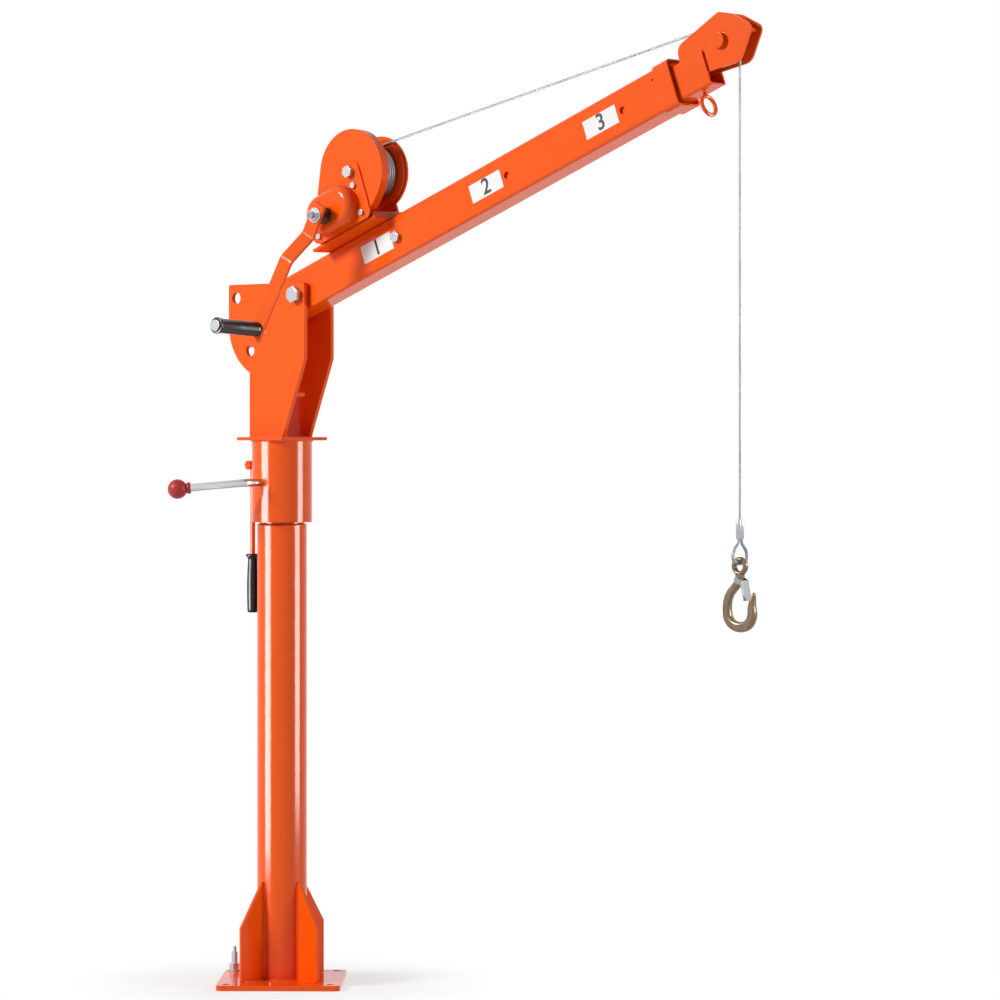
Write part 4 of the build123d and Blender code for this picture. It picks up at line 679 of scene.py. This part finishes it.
def threadMesh(name, origin, axis, turns):
    shape = bmesh.new()
    pitch = threadSpec["pitchMm"] * mm
    ridge = [shape.verts.new(((threadSpec["radiusMm"] + rise) * mm, 0, share * pitch))
             for share, rise in threadSpec["ridge"]]
    edges = [shape.edges.new(pair) for pair in zip(ridge, ridge[1:])]
    bmesh.ops.spin(shape, geom=ridge + edges, cent=(0, 0, 0), axis=upright,
                   dvec=upright * pitch / threadSpec["perTurn"], angle=fullTurn * turns,
                   steps=threadSpec["perTurn"] * turns)
    bmesh.ops.recalc_face_normals(shape, faces=shape.faces)
    standShape(shape, origin, axis)
    return finishedMesh(shape, name, threadSpec["creaseDegrees"])


studLow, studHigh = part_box("anchor_stud")
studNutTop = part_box("anchor_nut")[1].z
studFoot = (studLow + studHigh) / 2
studFoot.z = studNutTop + threadSpec["studGap"]
addPiece("studThread", threadMesh("studThread", studFoot, upright, threadSpec["studTurns"]),
         "base", "zinc_plated_steel")
crankAxis = Vector(jointAt["crank_spin"]["pos_m"])
nutLow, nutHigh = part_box("crank_nut")
nutFront = Vector((crankAxis.x, nutLow.y, crankAxis.z))
nutBack = Vector((crankAxis.x, nutHigh.y, crankAxis.z))
addPiece("crankThread", threadMesh("crankThread", nutFront, -crossY, threadSpec["crankTurns"]),
         "crank", "zinc_plated_steel")

# Washer behind the crank nut
washerSpec = {"profile": [(0, 6.2), (0, 13.0), (0.4, 13.6), (1.6, 13.6), (2.0, 13.2), (2.0, 6.2)]}
addPiece("crankWasher", turnedMesh("crankWasher", washerSpec["profile"], nutBack, -crossY),
         "crank", "zinc_plated_steel")

# Welds: rippled beads along the joints of the plates, under the paint
weldSpec = {"rippleMm": 3.2, "swell": 0.13, "stepMm": 1.1, "ringPoints": 72, "ringSteps": 2, "endGap": 0.004,
            "postMm": 2.6, "gussetMm": 2.2, "sleeveMm": 2.2, "cheekMm": 2.0}


def weldLine(points, radiusMm):
    line, length = evenLine(points, weldSpec["stepMm"] * mm)
    phaseStep = fullTurn * length / (len(line) - 1) / (weldSpec["rippleMm"] * mm)
    swells = [1 + weldSpec["swell"] * math.sin(phaseStep * k) for k in range(len(line))]
    return [(point, radiusMm * swell) for point, swell in zip(line, swells)]


def ringLine(radius, height):
    angles = [fullTurn * k / weldSpec["ringPoints"] for k in range(weldSpec["ringPoints"] + 1)]
    return [Vector((radius * math.cos(a), radius * math.sin(a), height)) for a in angles]


gussetSpec = {"turn": -4.0, "half": 0.003, "reach": 0.098}
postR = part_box("post_tube")[1].x
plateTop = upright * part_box("base_plate")[1].z
gussetTop = upright * (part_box("post_gussets")[1].z - weldSpec["endGap"])
baseWelds = [weldLine(ringLine(postR, plateTop.z), weldSpec["postMm"])]
for quarter in range(4):
    angle = math.radians(gussetSpec["turn"] + 90 * quarter)
    outward = Vector((math.cos(angle), math.sin(angle), 0))
    sideways = Vector((-math.sin(angle), math.cos(angle), 0))
    for side in (-1, 1):
        edge = sideways * side * gussetSpec["half"]
        rise = outward * postR + edge
        toe = outward * (gussetSpec["reach"] - weldSpec["endGap"]) + edge
        baseWelds.append(weldLine([rise + plateTop, rise + gussetTop], weldSpec["gussetMm"]))
        baseWelds.append(weldLine([rise + plateTop, toe + plateTop], weldSpec["gussetMm"]))
addPiece("baseWelds", tubesMesh("baseWelds", baseWelds, mm, weldSpec["ringSteps"]),
         "base", "orange_powder_coat")

cheekSpec = {"back": -0.044, "front": 0.0375}
flangeLow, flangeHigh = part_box("head_flange")
headWelds = [weldLine(ringLine(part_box("swivel_sleeve")[1].x, flangeLow.z), weldSpec["sleeveMm"])]
for face in (*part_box("cheek_near"), *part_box("cheek_far")):
    ends = [Vector((cheekSpec[end], face.y, flangeHigh.z)) for end in ("back", "front")]
    headWelds.append(weldLine(ends, weldSpec["cheekMm"]))
addPiece("headWelds", tubesMesh("headWelds", headWelds, mm, weldSpec["ringSteps"]),
         "mast_head", "orange_powder_coat")
print("details: hook, knob, grips, threads and welds")

# Labels: a plain number on each, printed along the boom; along and up are from the boom's pivot
labelSpec = {"along": (0.203, 0.4775, 0.752), "up": 0.007, "height": 0.027, "capShare": 0.69,
             "inkThick": 0.00004, "bold": 0.0007}
boomRoot = Vector(jointAt["boom_luff"]["pos_m"])
boomAlong = Vector(jointAt["boom_extend"]["axis"])
boomUp = Vector((-boomAlong.z, 0, boomAlong.x))
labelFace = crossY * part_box("label_plates")[0].y
labelLean = Matrix((boomAlong, boomUp, -crossY)).transposed().to_4x4()
for number, along in enumerate(labelSpec["along"], 1):
    figure = bpy.data.curves.new("figure", "FONT")
    figure.body = str(number)
    figure.size = labelSpec["height"] / labelSpec["capShare"]
    figure.align_x = "CENTER"
    figure.align_y = "CENTER"
    figure.extrude = labelSpec["inkThick"]
    figure.offset = labelSpec["bold"]
    mesh = meshOfCurve(figure)
    middle = boomRoot + boomAlong * along + boomUp * labelSpec["up"] + labelFace
    mesh.transform(Matrix.Translation(middle) @ labelLean)
    mesh.name = "labelFigure%d" % number
    addPiece(mesh.name, mesh, "boom", "white_label", finish="ink")
print("labels:", len(labelSpec["along"]), "numbers")

# The strips shine on the round pieces only, because a flat plate would mirror a whole strip
roundPieces = ("post_tube", "swivelSleeve", "clamp_rod", "handle_rod", "ring_eye", "crankGrip", "handleGrip")
shiny = bpy.data.collections.new("roundPieces")
for name in roundPieces:
    shiny.objects.link(nodes[name] if name in nodes else bpy.data.objects[name])
for name, lamp in lampSpec.items():
    if not lamp["lights"]:
        bpy.data.objects[name].light_linking.receiver_collection = shiny
print("gloss:", len(roundPieces), "pieces take the strips")
